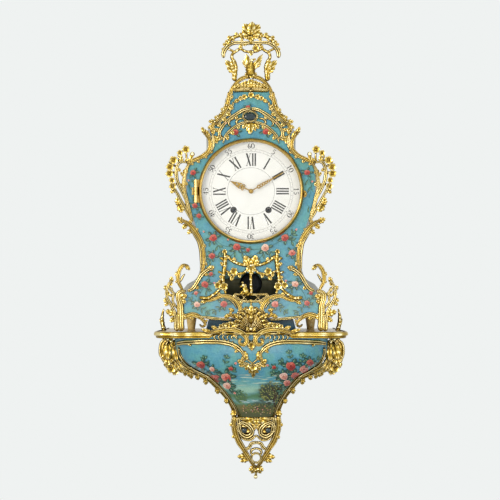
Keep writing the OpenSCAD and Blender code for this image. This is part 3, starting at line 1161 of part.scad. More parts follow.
module pendulum_bob() color("#3a3f44") at_dial(anchor_at) translate([0, pendulum_y, -pendulum_l]) {
    difference() {
        rotate([90, 0, 0]) rotate_extrude($fn = 96) polygon(concat(
            [for (k = [0 : 8]) let (a = 180 * k / 8 - 90) [bob_r * cos(a), bob_t / 2 * sin(a)]]));
        translate([0, 0, -bob_r - 1]) cylinder(h = 2 * bob_r + 2, r = rod_r + run_gap, $fn = 32);
    }
    translate([0, 0, -bob_r - 5]) difference() {
        cylinder(h = 4, r = 4.4, $fn = 32);
        translate([0, 0, -1]) cylinder(h = 6, r = rod_r + run_gap, $fn = 32);
    }
}

pin_count = 8;
module strike_wheel() color(brass) at_dial(pin_at) {
    arbor();
    slab(inter_y, wheel_t) wheel_shape(inter_n, inter_m * 0.8, 0, 5);
    slab(great_y + 1, gear_t + 2) gear_shape(pinion_n, great_m, toward(pin_at, strike_at) + 180 / pinion_n);
    for (k = [0 : pin_count - 1]) rotate([0, 360 / pin_count * k, 0]) translate([17.4, 0, 0]) pin(0.8, inter_y, inter_y + 2.6);
}
bell_z = 97;
bell_y = bp_y - 5.6;
hammer_gap = 1.2;
module strike_hammer() color(steel) at_dial(hammer_at) {
    arbor();
    rise = bell_z + 3 - hammer_at[1];
    translate([-1.5, bell_y - 1.5, 0]) cube([3, 3, rise]);
    translate([-6, bell_y, rise]) rotate([0, 90, 0])
        cylinder(h = 6 - bell_r - hammer_gap - hammer_at[0], r = 5, $fn = 32);
    translate([2, inter_y + 2, -2]) cube([7, 1.6, 2.4]);
}
module bell() color(brass) at_dial() {
    translate([0, bell_y, bell_z]) rotate_extrude($fn = 96) polygon(concat(
        [for (k = [0 : 6]) let (a = 90 * k / 6) [bell_r * cos(a), bell_h * sin(a)]],
        [for (k = [6 : -1 : 0]) let (a = 90 * k / 6) [(bell_r - 2.6) * cos(a), (bell_h - 2.6) * sin(a)]]));
    translate([0, bell_y, plate_high + 2]) cylinder(h = bell_z + bell_h - plate_high - 3, r = 2.4, $fn = 32);
    translate([-5, fp_back, plate_high - 1.4]) cube([10, plate_gap, 3.4]);
    translate([0, bell_y, bell_z + bell_h - 1]) cylinder(h = 5, r = 3.6, $fn = 32);
}

bracket_shelf();
bracket_body();
bracket_back_board();
bracket_plinth();
shelf_rim();
frieze_mounts();
bracket_corners();
bracket_rails();
bracket_centre_mount();
bracket_terminal();
case_front_board();
case_side_left();
case_side_right();
case_floor();
case_back_frame();
crown_bower();
crown_figure();
crown_rocaille();
crown_corners();
crest_mount();
crest_stone();
shoulder_mounts();
dial_side_mounts();
waist_mounts();
aperture_trellis();
aperture_group();
panel_scrolls();
apron_shell();
foot_mount_left();
foot_mount_right();
bezel();
bezel_glass();
bezel_hinge();
bezel_catch();
back_door();
dial_plate();
hour_hand();
hour_wheel();
minute_hand();
cannon_wheel();
motion_wheel();
movement_straps();
front_plate();
back_plate();
pillars();
going_barrel();
going_winder();
going_wheel();
centre_wheel();
third_wheel();
escape_wheel();
anchor_crutch();
suspension_cock();
pendulum_rod();
pendulum_bob();
strike_barrel();
strike_winder();
strike_wheel();
strike_hammer();
bell();
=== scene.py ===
"""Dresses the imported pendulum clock: chased gilt mounts, painted lacquer, enamel dial, hands and studio."""
import json
import math
import random

import bpy
import numpy as np
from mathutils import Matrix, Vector
from bpy.props import FloatProperty, FloatVectorProperty, PointerProperty
from bpy.types import Operator, Panel, PropertyGroup

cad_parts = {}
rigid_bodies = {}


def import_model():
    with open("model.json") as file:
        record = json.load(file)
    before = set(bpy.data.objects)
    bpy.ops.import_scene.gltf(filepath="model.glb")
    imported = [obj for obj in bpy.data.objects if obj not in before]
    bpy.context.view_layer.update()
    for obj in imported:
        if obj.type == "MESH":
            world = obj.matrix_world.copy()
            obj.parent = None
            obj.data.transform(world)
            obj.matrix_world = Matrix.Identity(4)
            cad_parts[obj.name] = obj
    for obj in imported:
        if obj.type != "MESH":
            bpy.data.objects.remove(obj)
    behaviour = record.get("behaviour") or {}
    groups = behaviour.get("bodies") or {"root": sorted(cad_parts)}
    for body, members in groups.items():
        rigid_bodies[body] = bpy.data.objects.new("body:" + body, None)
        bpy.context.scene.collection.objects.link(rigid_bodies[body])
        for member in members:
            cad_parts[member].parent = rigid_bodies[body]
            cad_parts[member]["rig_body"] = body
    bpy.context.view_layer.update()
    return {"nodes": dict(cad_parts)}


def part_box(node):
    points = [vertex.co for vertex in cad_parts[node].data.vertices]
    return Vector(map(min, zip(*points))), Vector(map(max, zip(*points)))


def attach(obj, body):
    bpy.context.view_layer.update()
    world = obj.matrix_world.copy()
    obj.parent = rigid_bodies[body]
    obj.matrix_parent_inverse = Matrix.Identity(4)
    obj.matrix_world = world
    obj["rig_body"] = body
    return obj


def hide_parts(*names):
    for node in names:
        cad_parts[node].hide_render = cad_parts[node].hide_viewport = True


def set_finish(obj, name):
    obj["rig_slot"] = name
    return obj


bl_info = {
    "name": "Pendulum Clock Dressing",
    "version": (1, 0, 0),
    "blender": (4, 5, 0),
    "location": "3D View > Sidebar > Clock",
    "description": "Chased gilt mounts, painted lacquer, enamel dial and hands on a packed pendulum clock",
    "category": "Object",
}

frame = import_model()
NODES = frame["nodes"]
MM = 0.001

# The patterns that the ornament is set out on, in squares, with their real sizes from the model
case_low, case_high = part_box("case_front_board")
body_low, body_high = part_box("bracket_body")
shelf_low, shelf_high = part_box("bracket_shelf")
plate_low, plate_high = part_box("dial_plate")
FRONT = case_low.y
SHELF_TOP = shelf_high.z
CASE_SQUARE = ((case_high.x - case_low.x) / 135, (case_high.z - case_low.z) / 225.4)
CONSOLE_SQUARE = ((body_high.x - body_low.x) / 159, (SHELF_TOP - body_low.z) / 89)
SHELF_SQUARE = ((shelf_high.x - shelf_low.x) / 192, CONSOLE_SQUARE[1])
CONSOLE_HIGH = SHELF_TOP - body_low.z
CONSOLE_DEEP = 186 * MM
SHELF_DEEP = 200 * MM
BACK_BOARD = 12 * MM
TAIL_SET = 13 * MM
TERMINAL_HIGH = 161 * MM
TERMINAL_SQUARE = TERMINAL_HIGH / 67
DIAL_X = (plate_low.x + plate_high.x) / 2
DIAL_Z = (plate_low.z + plate_high.z) / 2
DIAL_FACE = plate_low.y
SQUARENESS = 3.6
CONSOLE_TOP = -14.2 * MM
# Steps along a band or a twig, so that their curves stay smooth close to
BAND_STEP, TWIG_STEP = 1.3 * MM, 1.1 * MM
# Paint: how far it keeps from an edge and from the rim above, and how much each dab adds, in squares
PAINT_MARGIN, PAINT_DROP, DAB_LIFT = 6 * MM, 15 * MM, 0.0016

CONSOLE_ROWS = [
    (0, 79.5, 1), (-6, 79.5, 0.995), (-13, 79, 0.985), (-22, 78, 0.97), (-30, 74, 0.94), (-38, 63, 0.88),
    (-48, 47, 0.76), (-58, 38, 0.65), (-68, 30, 0.55), (-78, 24, 0.47), (-89, 19, 0.41),
]
SHELF_EDGE = [(0, 0.97), (0.2, 0.95), (0.45, 0.92), (0.7, 0.945), (0.9, 0.93), (0.96, 0.88), (1, 0.8)]


def smooth(points, steps):
    """Catmull-Rom curve through points, steps to a span."""
    p = np.array(points, float)
    p = np.vstack([p[:1], p, p[-1:]])
    t = np.arange(steps)[:, None] / steps
    out = []
    for i in range(1, len(p) - 2):
        a, b, c, d = p[i - 1], p[i], p[i + 1], p[i + 2]
        square, cube = 2 * a - 5 * b + 4 * c - d, 3 * b - a - 3 * c + d
        out.append(0.5 * (2 * b + (c - a) * t + square * t ** 2 + cube * t ** 3))
    out.append(p[-2:-1])
    return np.vstack(out)


CONSOLE_FINE = smooth(CONSOLE_ROWS, 4)[::-1]


def tail_set(z):
    """How far the hand-carved console leans sideways at height z under the shelf top."""
    f = np.clip(-z / CONSOLE_HIGH, 0, 1)
    return TAIL_SET * f * f * (3 - 2 * f)


def console_half(z):
    return np.interp(z / CONSOLE_SQUARE[1], CONSOLE_FINE[:, 0], CONSOLE_FINE[:, 1]) * CONSOLE_SQUARE[0]


def console_depth(z):
    return np.interp(z / CONSOLE_SQUARE[1], CONSOLE_FINE[:, 0], CONSOLE_FINE[:, 2]) * CONSOLE_DEEP


def console_front(x, z):
    """Front face of the console body at x and at z under the shelf top."""
    f = min(abs(x - tail_set(z)) / console_half(z), 0.985)
    return -BACK_BOARD - (console_depth(z) - BACK_BOARD) * (1 - f ** SQUARENESS) ** (1 / SQUARENESS)


def shelf_front(x):
    f = abs(x) * 2 / (shelf_high.x - shelf_low.x)
    return -SHELF_DEEP * np.interp(f, [r[0] for r in SHELF_EDGE], [r[1] for r in SHELF_EDGE])


def terminal_front(z):
    top = console_front(TAIL_SET, -CONSOLE_HIGH) + 16 * MM
    return np.interp(z, [-TERMINAL_HIGH, -0.7 * TERMINAL_HIGH, 0], [-26 * MM, -44 * MM, top])


class Seat:
    """What a piece of ornament is laid on: a squared pattern, and how deep its surface lies."""

    def __init__(self, square, origin, depth, lean=None):
        self.square, self.origin, self.depth, self.lean = square, origin, depth, lean

    def place(self, p, side, up):
        x = side * p[0] * self.square[0]
        z = p[1] * self.square[1]
        if self.lean:
            x += self.lean(z)
        out = (up + (p[2] if len(p) > 2 else 0)) * self.square[1]
        return (x + self.origin[0], self.depth(x, z) - out, z + self.origin[1])


ON_CASE = Seat(CASE_SQUARE, (0, case_low.z - 15 * CASE_SQUARE[1]), lambda x, z: FRONT)
ON_CONSOLE = Seat(CONSOLE_SQUARE, (0, SHELF_TOP), console_front, tail_set)
ON_SHELF = Seat(SHELF_SQUARE, (0, SHELF_TOP), lambda x, z: shelf_front(x))
ON_TERMINAL = Seat((CONSOLE_SQUARE[0], TERMINAL_SQUARE), (TAIL_SET, SHELF_TOP - CONSOLE_HIGH),
                   lambda x, z: terminal_front(z))


def along(values, f):
    """A width or depth at share f of the way, from a number or a list from one end to the other."""
    if isinstance(values, (int, float)):
        return np.full(len(f), float(values))
    return np.interp(f, np.linspace(0, 1, len(values)), values)


def section(kind, count=17):
    """Cross-section of a band: u across, h proud, and how worn and lit each point is, from hollow (0) to
    crest (1): burnish and patina, plus painted shade in the hollows and a painted highlight on the crests.
    """
    u = np.linspace(-1, 1, count)
    shoulder = (1 - np.abs(u) ** 2.8) ** (1 / 2.8)
    if kind == "channel":
        rim = np.exp(-((np.abs(u) - 0.74) / 0.2) ** 2)
        h = shoulder * (0.5 + 0.5 * rim) + 0.1 * np.exp(-(u / 0.2) ** 2)
        wear = np.clip(0.42 + 0.58 * rim + 0.4 * np.exp(-(u / 0.2) ** 2), 0, 1)
    else:
        strands = {"reed": 3, "pair": 2, "ridge": 1}[kind]
        g = ((u + 1) / 2 * strands) % 1
        bump = np.sqrt(np.clip(1 - (2 * g - 1) ** 2, 0, 1)) if strands > 1 else (1 - np.abs(u) ** 1.4)
        h = shoulder * (0.5 + 0.5 * bump)
        wear = 0.12 + 0.78 * bump
    return u, h, wear * shoulder ** 0.5


class Casting:
    """One mount as it is modelled in wax. Points are in squares of its seat; up is how far it stands off."""

    def __init__(self, seat, up=0.0, full=1.4, seed=7):
        self.seat, self.up, self.full, self.side = seat, up, full, 1
        self.verts, self.faces, self.wear, self.count = [], [], [], 0
        self.random = random.Random(seed)
        self.unit = seat.square[1]

    def place(self, p, up=0.0):
        return np.array(self.seat.place(p, self.side, up + self.up), float)

    def add(self, points, faces, wear):
        self.verts.append(np.asarray(points, float))
        self.faces += [tuple(i + self.count for i in f) for f in faces]
        self.wear.append(np.asarray(wear, float))
        self.count += len(points)

    def tube(self, rings, wear, closed=False):
        """Skins rings of equal length. rings is (m, s, 3)."""
        m, s = rings.shape[:2]
        faces = []
        spans = m if closed else m - 1
        for i in range(spans):
            a, b = i * s, ((i + 1) % m) * s
            faces += [(a + k, a + (k + 1) % s, b + (k + 1) % s, b + k) for k in range(s)]
        if not closed:
            faces += [tuple(range(s - 1, -1, -1)), tuple((m - 1) * s + k for k in range(s))]
        self.add(rings.reshape(-1, 3), faces, wear.reshape(-1))

    def line(self, points, up, step):
        rough = smooth([self.place(p, up) for p in points], 8)
        length = np.concatenate([[0], np.cumsum(np.linalg.norm(np.diff(rough, axis=0), axis=1))])
        n = max(6, int(length[-1] / step))
        at = np.linspace(0, length[-1], n)
        line = np.stack([np.interp(at, length, rough[:, k]) for k in range(3)], axis=1)
        tangent = np.gradient(line, axis=0)
        tangent /= np.maximum(np.linalg.norm(tangent, axis=1, keepdims=True), 1e-9)
        across = np.stack([tangent[:, 2], 0 * at, -tangent[:, 0]], axis=1)
        across /= np.maximum(np.linalg.norm(across, axis=1, keepdims=True), 1e-9)
        front = np.cross(tangent, across)
        front *= np.where(front[:, 1] > 0, -1, 1)[:, None]
        return line, across, front, at, length[-1]

    def band(self, points, w, d=1.4, cut="pair", up=0.0, loop=False):
        line, across, front, at, total = self.line(points, up, BAND_STEP)
        f = at / total
        half = along(w, f) * self.unit * self.full
        deep = along(d, f) * self.unit * 1.05
        if not loop:
            end = np.clip(np.minimum(at, total - at) / np.maximum(half * 1.3, 1e-6), 0.02, 1)
            cap = np.sqrt(1 - (1 - end) ** 2)
            half, deep = half * cap, deep * (0.25 + 0.75 * cap)
        wave = 1 + 0.05 * np.sin(at / (5.2 * MM) + self.random.uniform(0, 6))
        u, h, worn_and_shaded = section(cut, 17 if cut != "ridge" else 11)
        # three points behind the band close it against the ground; their low values paint them dark as shade
        u = np.concatenate([u, [0.8, 0.0, -0.8]])
        h = np.concatenate([h, [-0.12, -0.2, -0.12]])
        worn_and_shaded = np.concatenate([worn_and_shaded, [0.15, 0.1, 0.15]])
        rings = (line[:, None, :] + across[:, None, :] * (half * wave)[:, None, None] * u[None, :, None]
                 + front[:, None, :] * deep[:, None, None] * h[None, :, None])
        self.tube(rings, np.tile(worn_and_shaded, (len(line), 1)), loop)

    def twig(self, points, r, up=0.0, bark=1.0):
        line, across, front, at, total = self.line(points, up, TWIG_STEP)
        radius = along(r, at / total) * self.unit * self.full * 0.92
        end = np.clip(np.minimum(at, total - at) / np.maximum(radius, 1e-6), 0.05, 1)
        radius = radius * np.sqrt(1 - (1 - end) ** 2)
        turn = np.linspace(0, 2 * math.pi, 14, endpoint=False)
        phase = [self.random.uniform(0, 6.28) for _ in range(3)]
        grain = (np.sin(turn * 3 + phase[0])[None, :] * np.sin(at / (3.1 * MM) + phase[1])[:, None] * 0.07
                 + np.sin(turn * 5 + phase[2])[None, :] * 0.08)
        knot = at[0]
        swell = np.zeros((len(at), len(turn)))
        while knot < total:
            knot += self.random.uniform(6, 13) * MM
            reach = np.exp(-((at - knot) / (1.5 * MM)) ** 2)
            swell += 0.3 * reach[:, None] * (0.6 + 0.4 * np.cos(turn - self.random.uniform(0, 6.28)))[None, :]
        grown = 1 + bark * (grain + swell)
        ring = (np.cos(turn)[None, :, None] * across[:, None, :]
                + np.sin(turn)[None, :, None] * front[:, None, :])
        # the side towards the board is painted dark as shade; knots and swellings are paler as burnish
        worn_and_shaded = np.clip(0.55 + 3 * (grown - 1), 0, 1) * np.clip(0.35 + 0.8 * np.sin(turn), 0.1, 1)[None, :]
        self.tube(line[:, None, :] + ring * (radius[:, None] * grown)[:, :, None], worn_and_shaded)

    def leaves(self, rows, *rest):
        """Leaves whose rows are (root, tip, ...), the same in what is left over."""
        for row in rows:
            self.leaf(*row, *rest)

    def leaf(self, root, tip, w, d=1.2, up=0.0, lobes=3, curl=0.5):
        """A folded acanthus leaf: lobed edge, midrib groove, side veins and a curling tip."""
        a, b = self.place(root, up), self.place(tip, up)
        axis = b - a
        length = np.linalg.norm(axis)
        axis /= length
        across = np.array([axis[2], 0, -axis[0]])
        across /= max(np.linalg.norm(across), 1e-9)
        proud = np.cross(axis, across)
        proud *= -1 if proud[1] > 0 else 1
        width, deep = w * self.unit * 0.47 * (0.35 + self.full), d * self.unit * 1.15
        n, m = 6 * lobes + 3, 11
        u = np.linspace(0, 1, n)[:, None]
        v = np.linspace(-1, 1, m)[None, :]
        outline = np.sin(math.pi * np.clip(u, 0, 1) ** 0.72) ** 0.7
        outline = np.maximum(outline, 0.32 * (1 - u) ** 2)
        scallop = np.abs(np.sin(math.pi * lobes * u + 0.3)) ** 0.7
        side = v * outline * width * (1 - 0.34 * np.abs(v) ** 2 * (1 - scallop))
        side = side + self.random.uniform(-0.12, 0.12) * length * u ** 2
        forward = length * (u + 0.10 * np.abs(v) ** 2 * (1 - u) * u * 4 * 0.5)
        vein = 0.5 + 0.5 * np.cos(2 * math.pi * (lobes * u - 0.55 * np.abs(v)) + 0.6)
        groove = np.exp(-(v / 0.16) ** 2)
        arch = np.sin(math.pi * np.clip(0.12 + 0.76 * u, 0, 1))
        height = deep * (0.3 + 0.6 * arch * (1 - 0.55 * np.abs(v) ** 2.2) - 0.22 * groove * (1 - u)
                         - 0.2 * vein * np.abs(v) * (1 - np.abs(v) ** 4) + curl * u ** 3)
        front = (a + axis * forward[:, :, None] + across * side[:, :, None] + proud * height[:, :, None])
        back = (a + axis * forward[:, :, None] + across * (side * 0.9)[:, :, None]
                + proud * (height * 0.35 - 0.12 * deep)[:, :, None])
        # grooves, veins and the root darker: patina and painted shade in the hollows; lobe edges paler as a
        # painted highlight
        worn_and_shaded = np.clip(0.95 - 0.75 * groove - 0.65 * vein * np.abs(v) ** 0.5 + 0.25 * np.abs(v) ** 6, 0.05, 1)
        worn_and_shaded = worn_and_shaded * (0.45 + 0.55 * np.clip(u * 3, 0, 1)) * np.ones_like(height)
        self.sheet(front, back, worn_and_shaded)

    def sheet(self, front, back, worn_and_shaded):
        """Closes a front and a back grid into one thin solid."""
        n, m = front.shape[:2]
        total = n * m
        faces = []
        for i in range(n - 1):
            for j in range(m - 1):
                q = (i * m + j, i * m + j + 1, (i + 1) * m + j + 1, (i + 1) * m + j)
                faces.append(q)
                faces.append(tuple(k + total for k in reversed(q)))
        rim = ([(0, j) for j in range(m)] + [(i, m - 1) for i in range(1, n)]
               + [(n - 1, j) for j in range(m - 2, -1, -1)] + [(i, 0) for i in range(n - 2, 0, -1)])
        rim = [i * m + j for i, j in rim]
        for k, p in enumerate(rim):
            q = rim[(k + 1) % len(rim)]
            faces.append((q, p, p + total, q + total))
        self.add(np.concatenate([front.reshape(-1, 3), back.reshape(-1, 3)]), faces,
                 np.concatenate([worn_and_shaded.reshape(-1), 0.15 + 0 * worn_and_shaded.reshape(-1)]))

    def flower(self, c, r, up=0.0, petals=5):
        """Cupped petals round a raised heart."""
        base = self.place(c, up)
        radius = r * self.unit * (0.35 + 0.62 * self.full)
        turn = np.linspace(0, 2 * math.pi, petals * 8, endpoint=False)[None, :]
        turn_in = turn + self.random.uniform(0, 1)
        lobe = np.abs(np.cos(petals / 2 * turn_in))
        t = np.linspace(0, 1, 9)[:, None]
        reach = radius * (0.66 + 0.34 * lobe ** 0.6)
        heart = np.exp(-(t / 0.2) ** 2)
        cup = radius * (0.16 + 0.3 * t ** 1.6 * (0.35 + 0.65 * lobe ** 0.5) + 0.36 * heart
                        - 0.12 * np.exp(-((t - 0.3) / 0.1) ** 2))
        ring = np.stack([np.cos(turn) * t * reach, -cup, np.sin(turn) * t * reach], axis=2)
        under = np.stack([np.cos(turn) * 0.55 * reach, -0.02 * radius + 0 * turn,
                          np.sin(turn) * 0.55 * reach], axis=2)
        # petal crests and the heart pale as burnish and painted highlight; a darker ring where the petals
        # meet the heart is painted shade in that groove
        worn_and_shaded = np.clip(0.45 + 0.55 * t ** 1.5 * lobe ** 0.4 + 0.6 * heart, 0, 1) * np.ones_like(turn)
        worn_and_shaded *= 1 - 0.42 * np.exp(-((t - 0.32) / 0.08) ** 2)
        rings = np.concatenate([ring, under], axis=0) + base
        self.tube(rings, np.concatenate([worn_and_shaded, 0.1 + 0 * turn], axis=0))

    def bead(self, c, r, up=0.0, squash=1.0):
        centre = self.place(c, up)
        lat = np.linspace(0.05, math.pi - 0.05, 9)[:, None]
        lon = np.linspace(0, 2 * math.pi, 14, endpoint=False)[None, :]
        radius = r * self.unit
        rings = np.stack([np.sin(lat) * np.cos(lon) * radius, np.cos(lat) * radius * squash + 0 * lon,
                          np.sin(lat) * np.sin(lon) * radius], axis=2) + centre
        # the half facing the board is painted dark as shade, the front half pale as a painted highlight
        self.tube(rings[::-1], np.clip(0.9 - 0.6 * (np.cos(lat[::-1]) + 0.4), 0.1, 1) * np.ones_like(lon))


# Colours and materials
ATTRIBUTE, PLACE, AO = "ShaderNodeAttribute", "ShaderNodeTexCoord", "ShaderNodeAmbientOcclusion"
NOISE, CELLS = "ShaderNodeTexNoise", "ShaderNodeTexVoronoi"
RAMP, MIX, MATHS, BUMP = "ShaderNodeValToRGB", "ShaderNodeMix", "ShaderNodeMath", "ShaderNodeBump"
BLEND = {"data_type": "RGBA", "out": 2}


def colour(code):
    """sRGB hex to linear values."""
    parts = [int(code[i:i + 2], 16) / 255 for i in (1, 3, 5)]
    return tuple(c / 12.92 if c <= 0.04045 else ((c + 0.055) / 1.055) ** 2.4 for c in parts) + (1.0,)


def tinted(tint, *stops):
    """Ramp stops whose colours are multiplied by a tint."""
    return [(at, tuple(c * t for c, t in zip(colour(code), tuple(tint) + (1.0,)))) for at, code in stops]


def add(tree, kind, inputs=(), stops=(), out=0, **props):
    """Adds a node. inputs are (socket, value, hex colour or another output), stops are those of a ramp."""
    n = tree.nodes.new(kind)
    for key, value in props.items():
        setattr(n, key, value)
    for socket, value in inputs:
        if isinstance(value, bpy.types.NodeSocket):
            tree.links.new(value, n.inputs[socket])
        else:
            n.inputs[socket].default_value = colour(value) if isinstance(value, str) else value
    if stops:
        points = n.color_ramp.elements
        while len(points) < len(stops):
            points.new(0.5)
        for point, (at, tone) in zip(points, stops):
            if isinstance(tone, str):
                tone = colour(tone)
            point.position, point.color = at, tone if isinstance(tone, tuple) else (tone, tone, tone, 1)
    return n.outputs[out]


def per_mm(size):
    """Scale of a pattern whose patches are about size millimetres across."""
    return 1000 / size


def new_material(name):
    m = bpy.data.materials.new(name)
    m.use_nodes = True
    tree = m.node_tree
    return m, tree, tree.nodes["Principled BSDF"], add(tree, PLACE, out="Object")


def dress(tree, shader, linked, **values):
    """Links outputs into the shader, and sets its uniform sockets by name."""
    for socket, source in linked:
        tree.links.new(source, shader.inputs[socket])
    for socket, value in values.items():
        shader.inputs[socket.replace("_", " ")].default_value = value


def fire_gilt(name, cast=True):
    # Cast bronze, chased, fire-gilt and burnished on its crests: soft gold over brown hollows, with light
    # painted on top. The colour ramp runs from painted shade, near black, in the hollows to a painted
    # highlight, near white, on the crests, and an occlusion ramp paints shade into every crease
    m, tree, shader, place = new_material(name)
    fine = add(tree, NOISE, [("Vector", place), ("Scale", per_mm(1.1)), ("Detail", 3), ("Roughness", 0.55)])
    broad = add(tree, NOISE, [("Vector", place), ("Scale", per_mm(14)), ("Detail", 3), ("Roughness", 0.55)])
    if cast:
        wear = add(tree, ATTRIBUTE, out="Fac", attribute_name="wear")
        # patina in the hollows and burnish on the crests, pushed further into painted shade (the near-black
        # end) and painted highlight (the cream end)
        tones = (0.0, "#1C1203"), (0.22, "#503A12"), (0.47, "#93762B"), (0.74, "#C3A74F"), (1.0, "#F8EAB8")
        shines = (0.0, 0.62), (0.4, 0.38), (1.0, 0.2)
    else:
        # turned pieces: pointiness paints concave places darker as shade and edges paler as a painted
        # highlight
        wear = add(tree, "ShaderNodeNewGeometry", out="Pointiness")
        tones = (0.3, "#74571F"), (0.5, "#B39345"), (0.7, "#DFC684")
        shines = (0.3, 0.4), (0.7, 0.22)
    stir = add(tree, MATHS, [(0, fine), (1, broad)], operation="ADD")
    worn_and_shaded = add(tree, MATHS, [(0, stir), (1, 0.28), (2, wear)], operation="MULTIPLY_ADD")
    worn_and_shaded = add(tree, MATHS, [(0, worn_and_shaded), (1, 0.28)], operation="SUBTRACT")
    gold = add(tree, RAMP, [("Fac", worn_and_shaded)], tinted(bpy.context.scene.clock_look.gold_tint, *tones))
    # painted shade: the gold is multiplied towards dark brown wherever a crease or recess is occluded within
    # 5 mm
    crease = add(tree, AO, [("Distance", 5 * MM)], out="AO", samples=6)
    crease_shade = add(tree, RAMP, [("Fac", crease)], [(0.25, "#2C1E0A"), (0.62, "#94805A"), (0.92, "#FFFFFF")])
    deep = add(tree, MIX, [(0, 1.0), (6, gold), (7, crease_shade)], blend_type="MULTIPLY", **BLEND)
    shine = add(tree, RAMP, [("Fac", worn_and_shaded)], shines)
    chased = add(tree, BUMP, [("Height", fine), ("Strength", 0.35), ("Distance", 0.25 * MM)])
    dress(tree, shader, [("Base Color", deep), ("Roughness", shine), ("Normal", chased)], Metallic=1.0)
    return m


def blue_lacquer(name, gilt_top=False):
    # Wood grounded in gesso, painted blue-green, varnished: cloudy colour, fine craquelure, soft gloss
    tint = bpy.context.scene.clock_look.lacquer_tint
    m, tree, shader, place = new_material(name)
    cloud = add(tree, NOISE, [("Vector", place), ("Scale", per_mm(46)), ("Detail", 5), ("Roughness", 0.6)])
    fleck = add(tree, NOISE, [("Vector", place), ("Scale", per_mm(5)), ("Detail", 6), ("Roughness", 0.7)])
    base = add(tree, RAMP, [("Fac", cloud)],
               tinted(tint, (0.3, "#357FA4"), (0.48, "#4A97B0"), (0.6, "#5BA3A2"), (0.75, "#4F8C7C")))
    rubs = add(tree, RAMP, [("Fac", fleck)],
               tinted(tint, (0.3, "#1E5A72"), (0.55, "#6FB2BC"), (0.8, "#9CCBBE")))
    rubbed = add(tree, MIX, [(0, 0.28), (6, base), (7, rubs)], **BLEND)
    crack = add(tree, CELLS, [("Vector", place), ("Scale", per_mm(5.5))], out="Distance",
                feature="DISTANCE_TO_EDGE")
    line = add(tree, RAMP, [("Fac", crack)], [(0.0, 1.0), (0.05, 0.0)])
    faint = add(tree, MATHS, [(0, line), (1, 0.22)], operation="MULTIPLY")
    cover = add(tree, ATTRIBUTE, out="Fac", attribute_name="cover")
    ground = add(tree, ATTRIBUTE, out="Color", attribute_name="tone")
    strokes = add(tree, NOISE, [("Vector", place), ("Scale", per_mm(3)), ("Detail", 5), ("Roughness", 0.7)])
    stroke = add(tree, RAMP, [("Fac", strokes)], [(0.3, 0.3), (0.7, 0.75)])
    scene_paint = add(tree, MIX, [(0, 0.3), (6, ground), (7, stroke)], blend_type="OVERLAY", **BLEND)
    painted = add(tree, MIX, [(0, cover), (6, rubbed), (7, scene_paint)], **BLEND)
    aged = add(tree, MIX, [(0, faint), (6, painted), (7, "#24505A")], **BLEND)
    # the up-facing top is gilt, its colour made pale to offset the shade that the case casts on it: partly
    # painted light
    if gilt_top:
        height = add(tree, "ShaderNodeSeparateXYZ", [("Vector", add(tree, PLACE, out="Normal"))], out="Z")
        upward = add(tree, RAMP, [("Fac", height)], [(0.4, 0.0), (0.6, 1.0)])
        aged = add(tree, MIX, [(0, upward), (6, aged), (7, "#E0C483")], **BLEND)
    shine = add(tree, RAMP, [("Fac", fleck)], [(0.3, 0.3), (0.7, 0.42)])
    gesso = add(tree, BUMP, [("Height", fleck), ("Strength", 0.1), ("Distance", 0.3 * MM)])
    dress(tree, shader, [("Base Color", aged), ("Roughness", shine), ("Normal", gesso)],
          Coat_Weight=0.25, Coat_Roughness=0.18)
    return m


def brushed_paint(name):
    # Oil colours laid on the lacquer under the same varnish: strokes of unequal strength, soft gloss
    m, tree, shader, place = new_material(name)
    tone = add(tree, ATTRIBUTE, out="Color", attribute_name="tone")
    stroke = add(tree, NOISE, [("Vector", place), ("Scale", per_mm(1.6)), ("Detail", 3), ("Roughness", 0.6)])
    body = add(tree, RAMP, [("Fac", stroke)], [(0.3, 0.35), (0.7, 0.75)])
    lively = add(tree, MIX, [(0, 0.35), (6, tone), (7, body)], blend_type="OVERLAY", **BLEND)
    ridges = add(tree, BUMP, [("Height", stroke), ("Strength", 0.15), ("Distance", 0.2 * MM)])
    dress(tree, shader, [("Base Color", lively), ("Normal", ridges)], Roughness=0.38, Coat_Weight=0.2)
    return m


def plain_coat(name, dark, mid, light, size_mm, rough, metal=0.0, coat=0.0, depth=0.1, stretch=(1, 1, 1)):
    """A surface whose colour drifts between three tones in patches of size_mm, with a fine texture."""
    m, tree, shader, place = new_material(name)
    mapped = add(tree, "ShaderNodeMapping", [("Vector", place), ("Scale", stretch)])
    drift = add(tree, NOISE, [("Vector", mapped), ("Scale", per_mm(size_mm)),
                              ("Detail", 5), ("Roughness", 0.6)])
    fine = add(tree, NOISE, [("Vector", mapped), ("Scale", per_mm(size_mm / 9)),
                             ("Detail", 4), ("Roughness", 0.6)])
    tone = add(tree, RAMP, [("Fac", drift)], [(0.3, dark), (0.5, mid), (0.7, light)])
    grain = add(tree, RAMP, [("Fac", fine)], [(0.35, dark), (0.65, light)])
    shine = add(tree, RAMP, [("Fac", fine)], [(0.3, max(rough - 0.06, 0.03)), (0.7, rough + 0.08)])
    coloured = add(tree, MIX, [(0, 0.12), (6, tone), (7, grain)], **BLEND)
    uneven = add(tree, BUMP, [("Height", fine), ("Strength", depth), ("Distance", 0.2 * MM)])
    dress(tree, shader, [("Base Color", coloured), ("Roughness", shine), ("Normal", uneven)],
          Metallic=metal, Coat_Weight=coat)
    return m


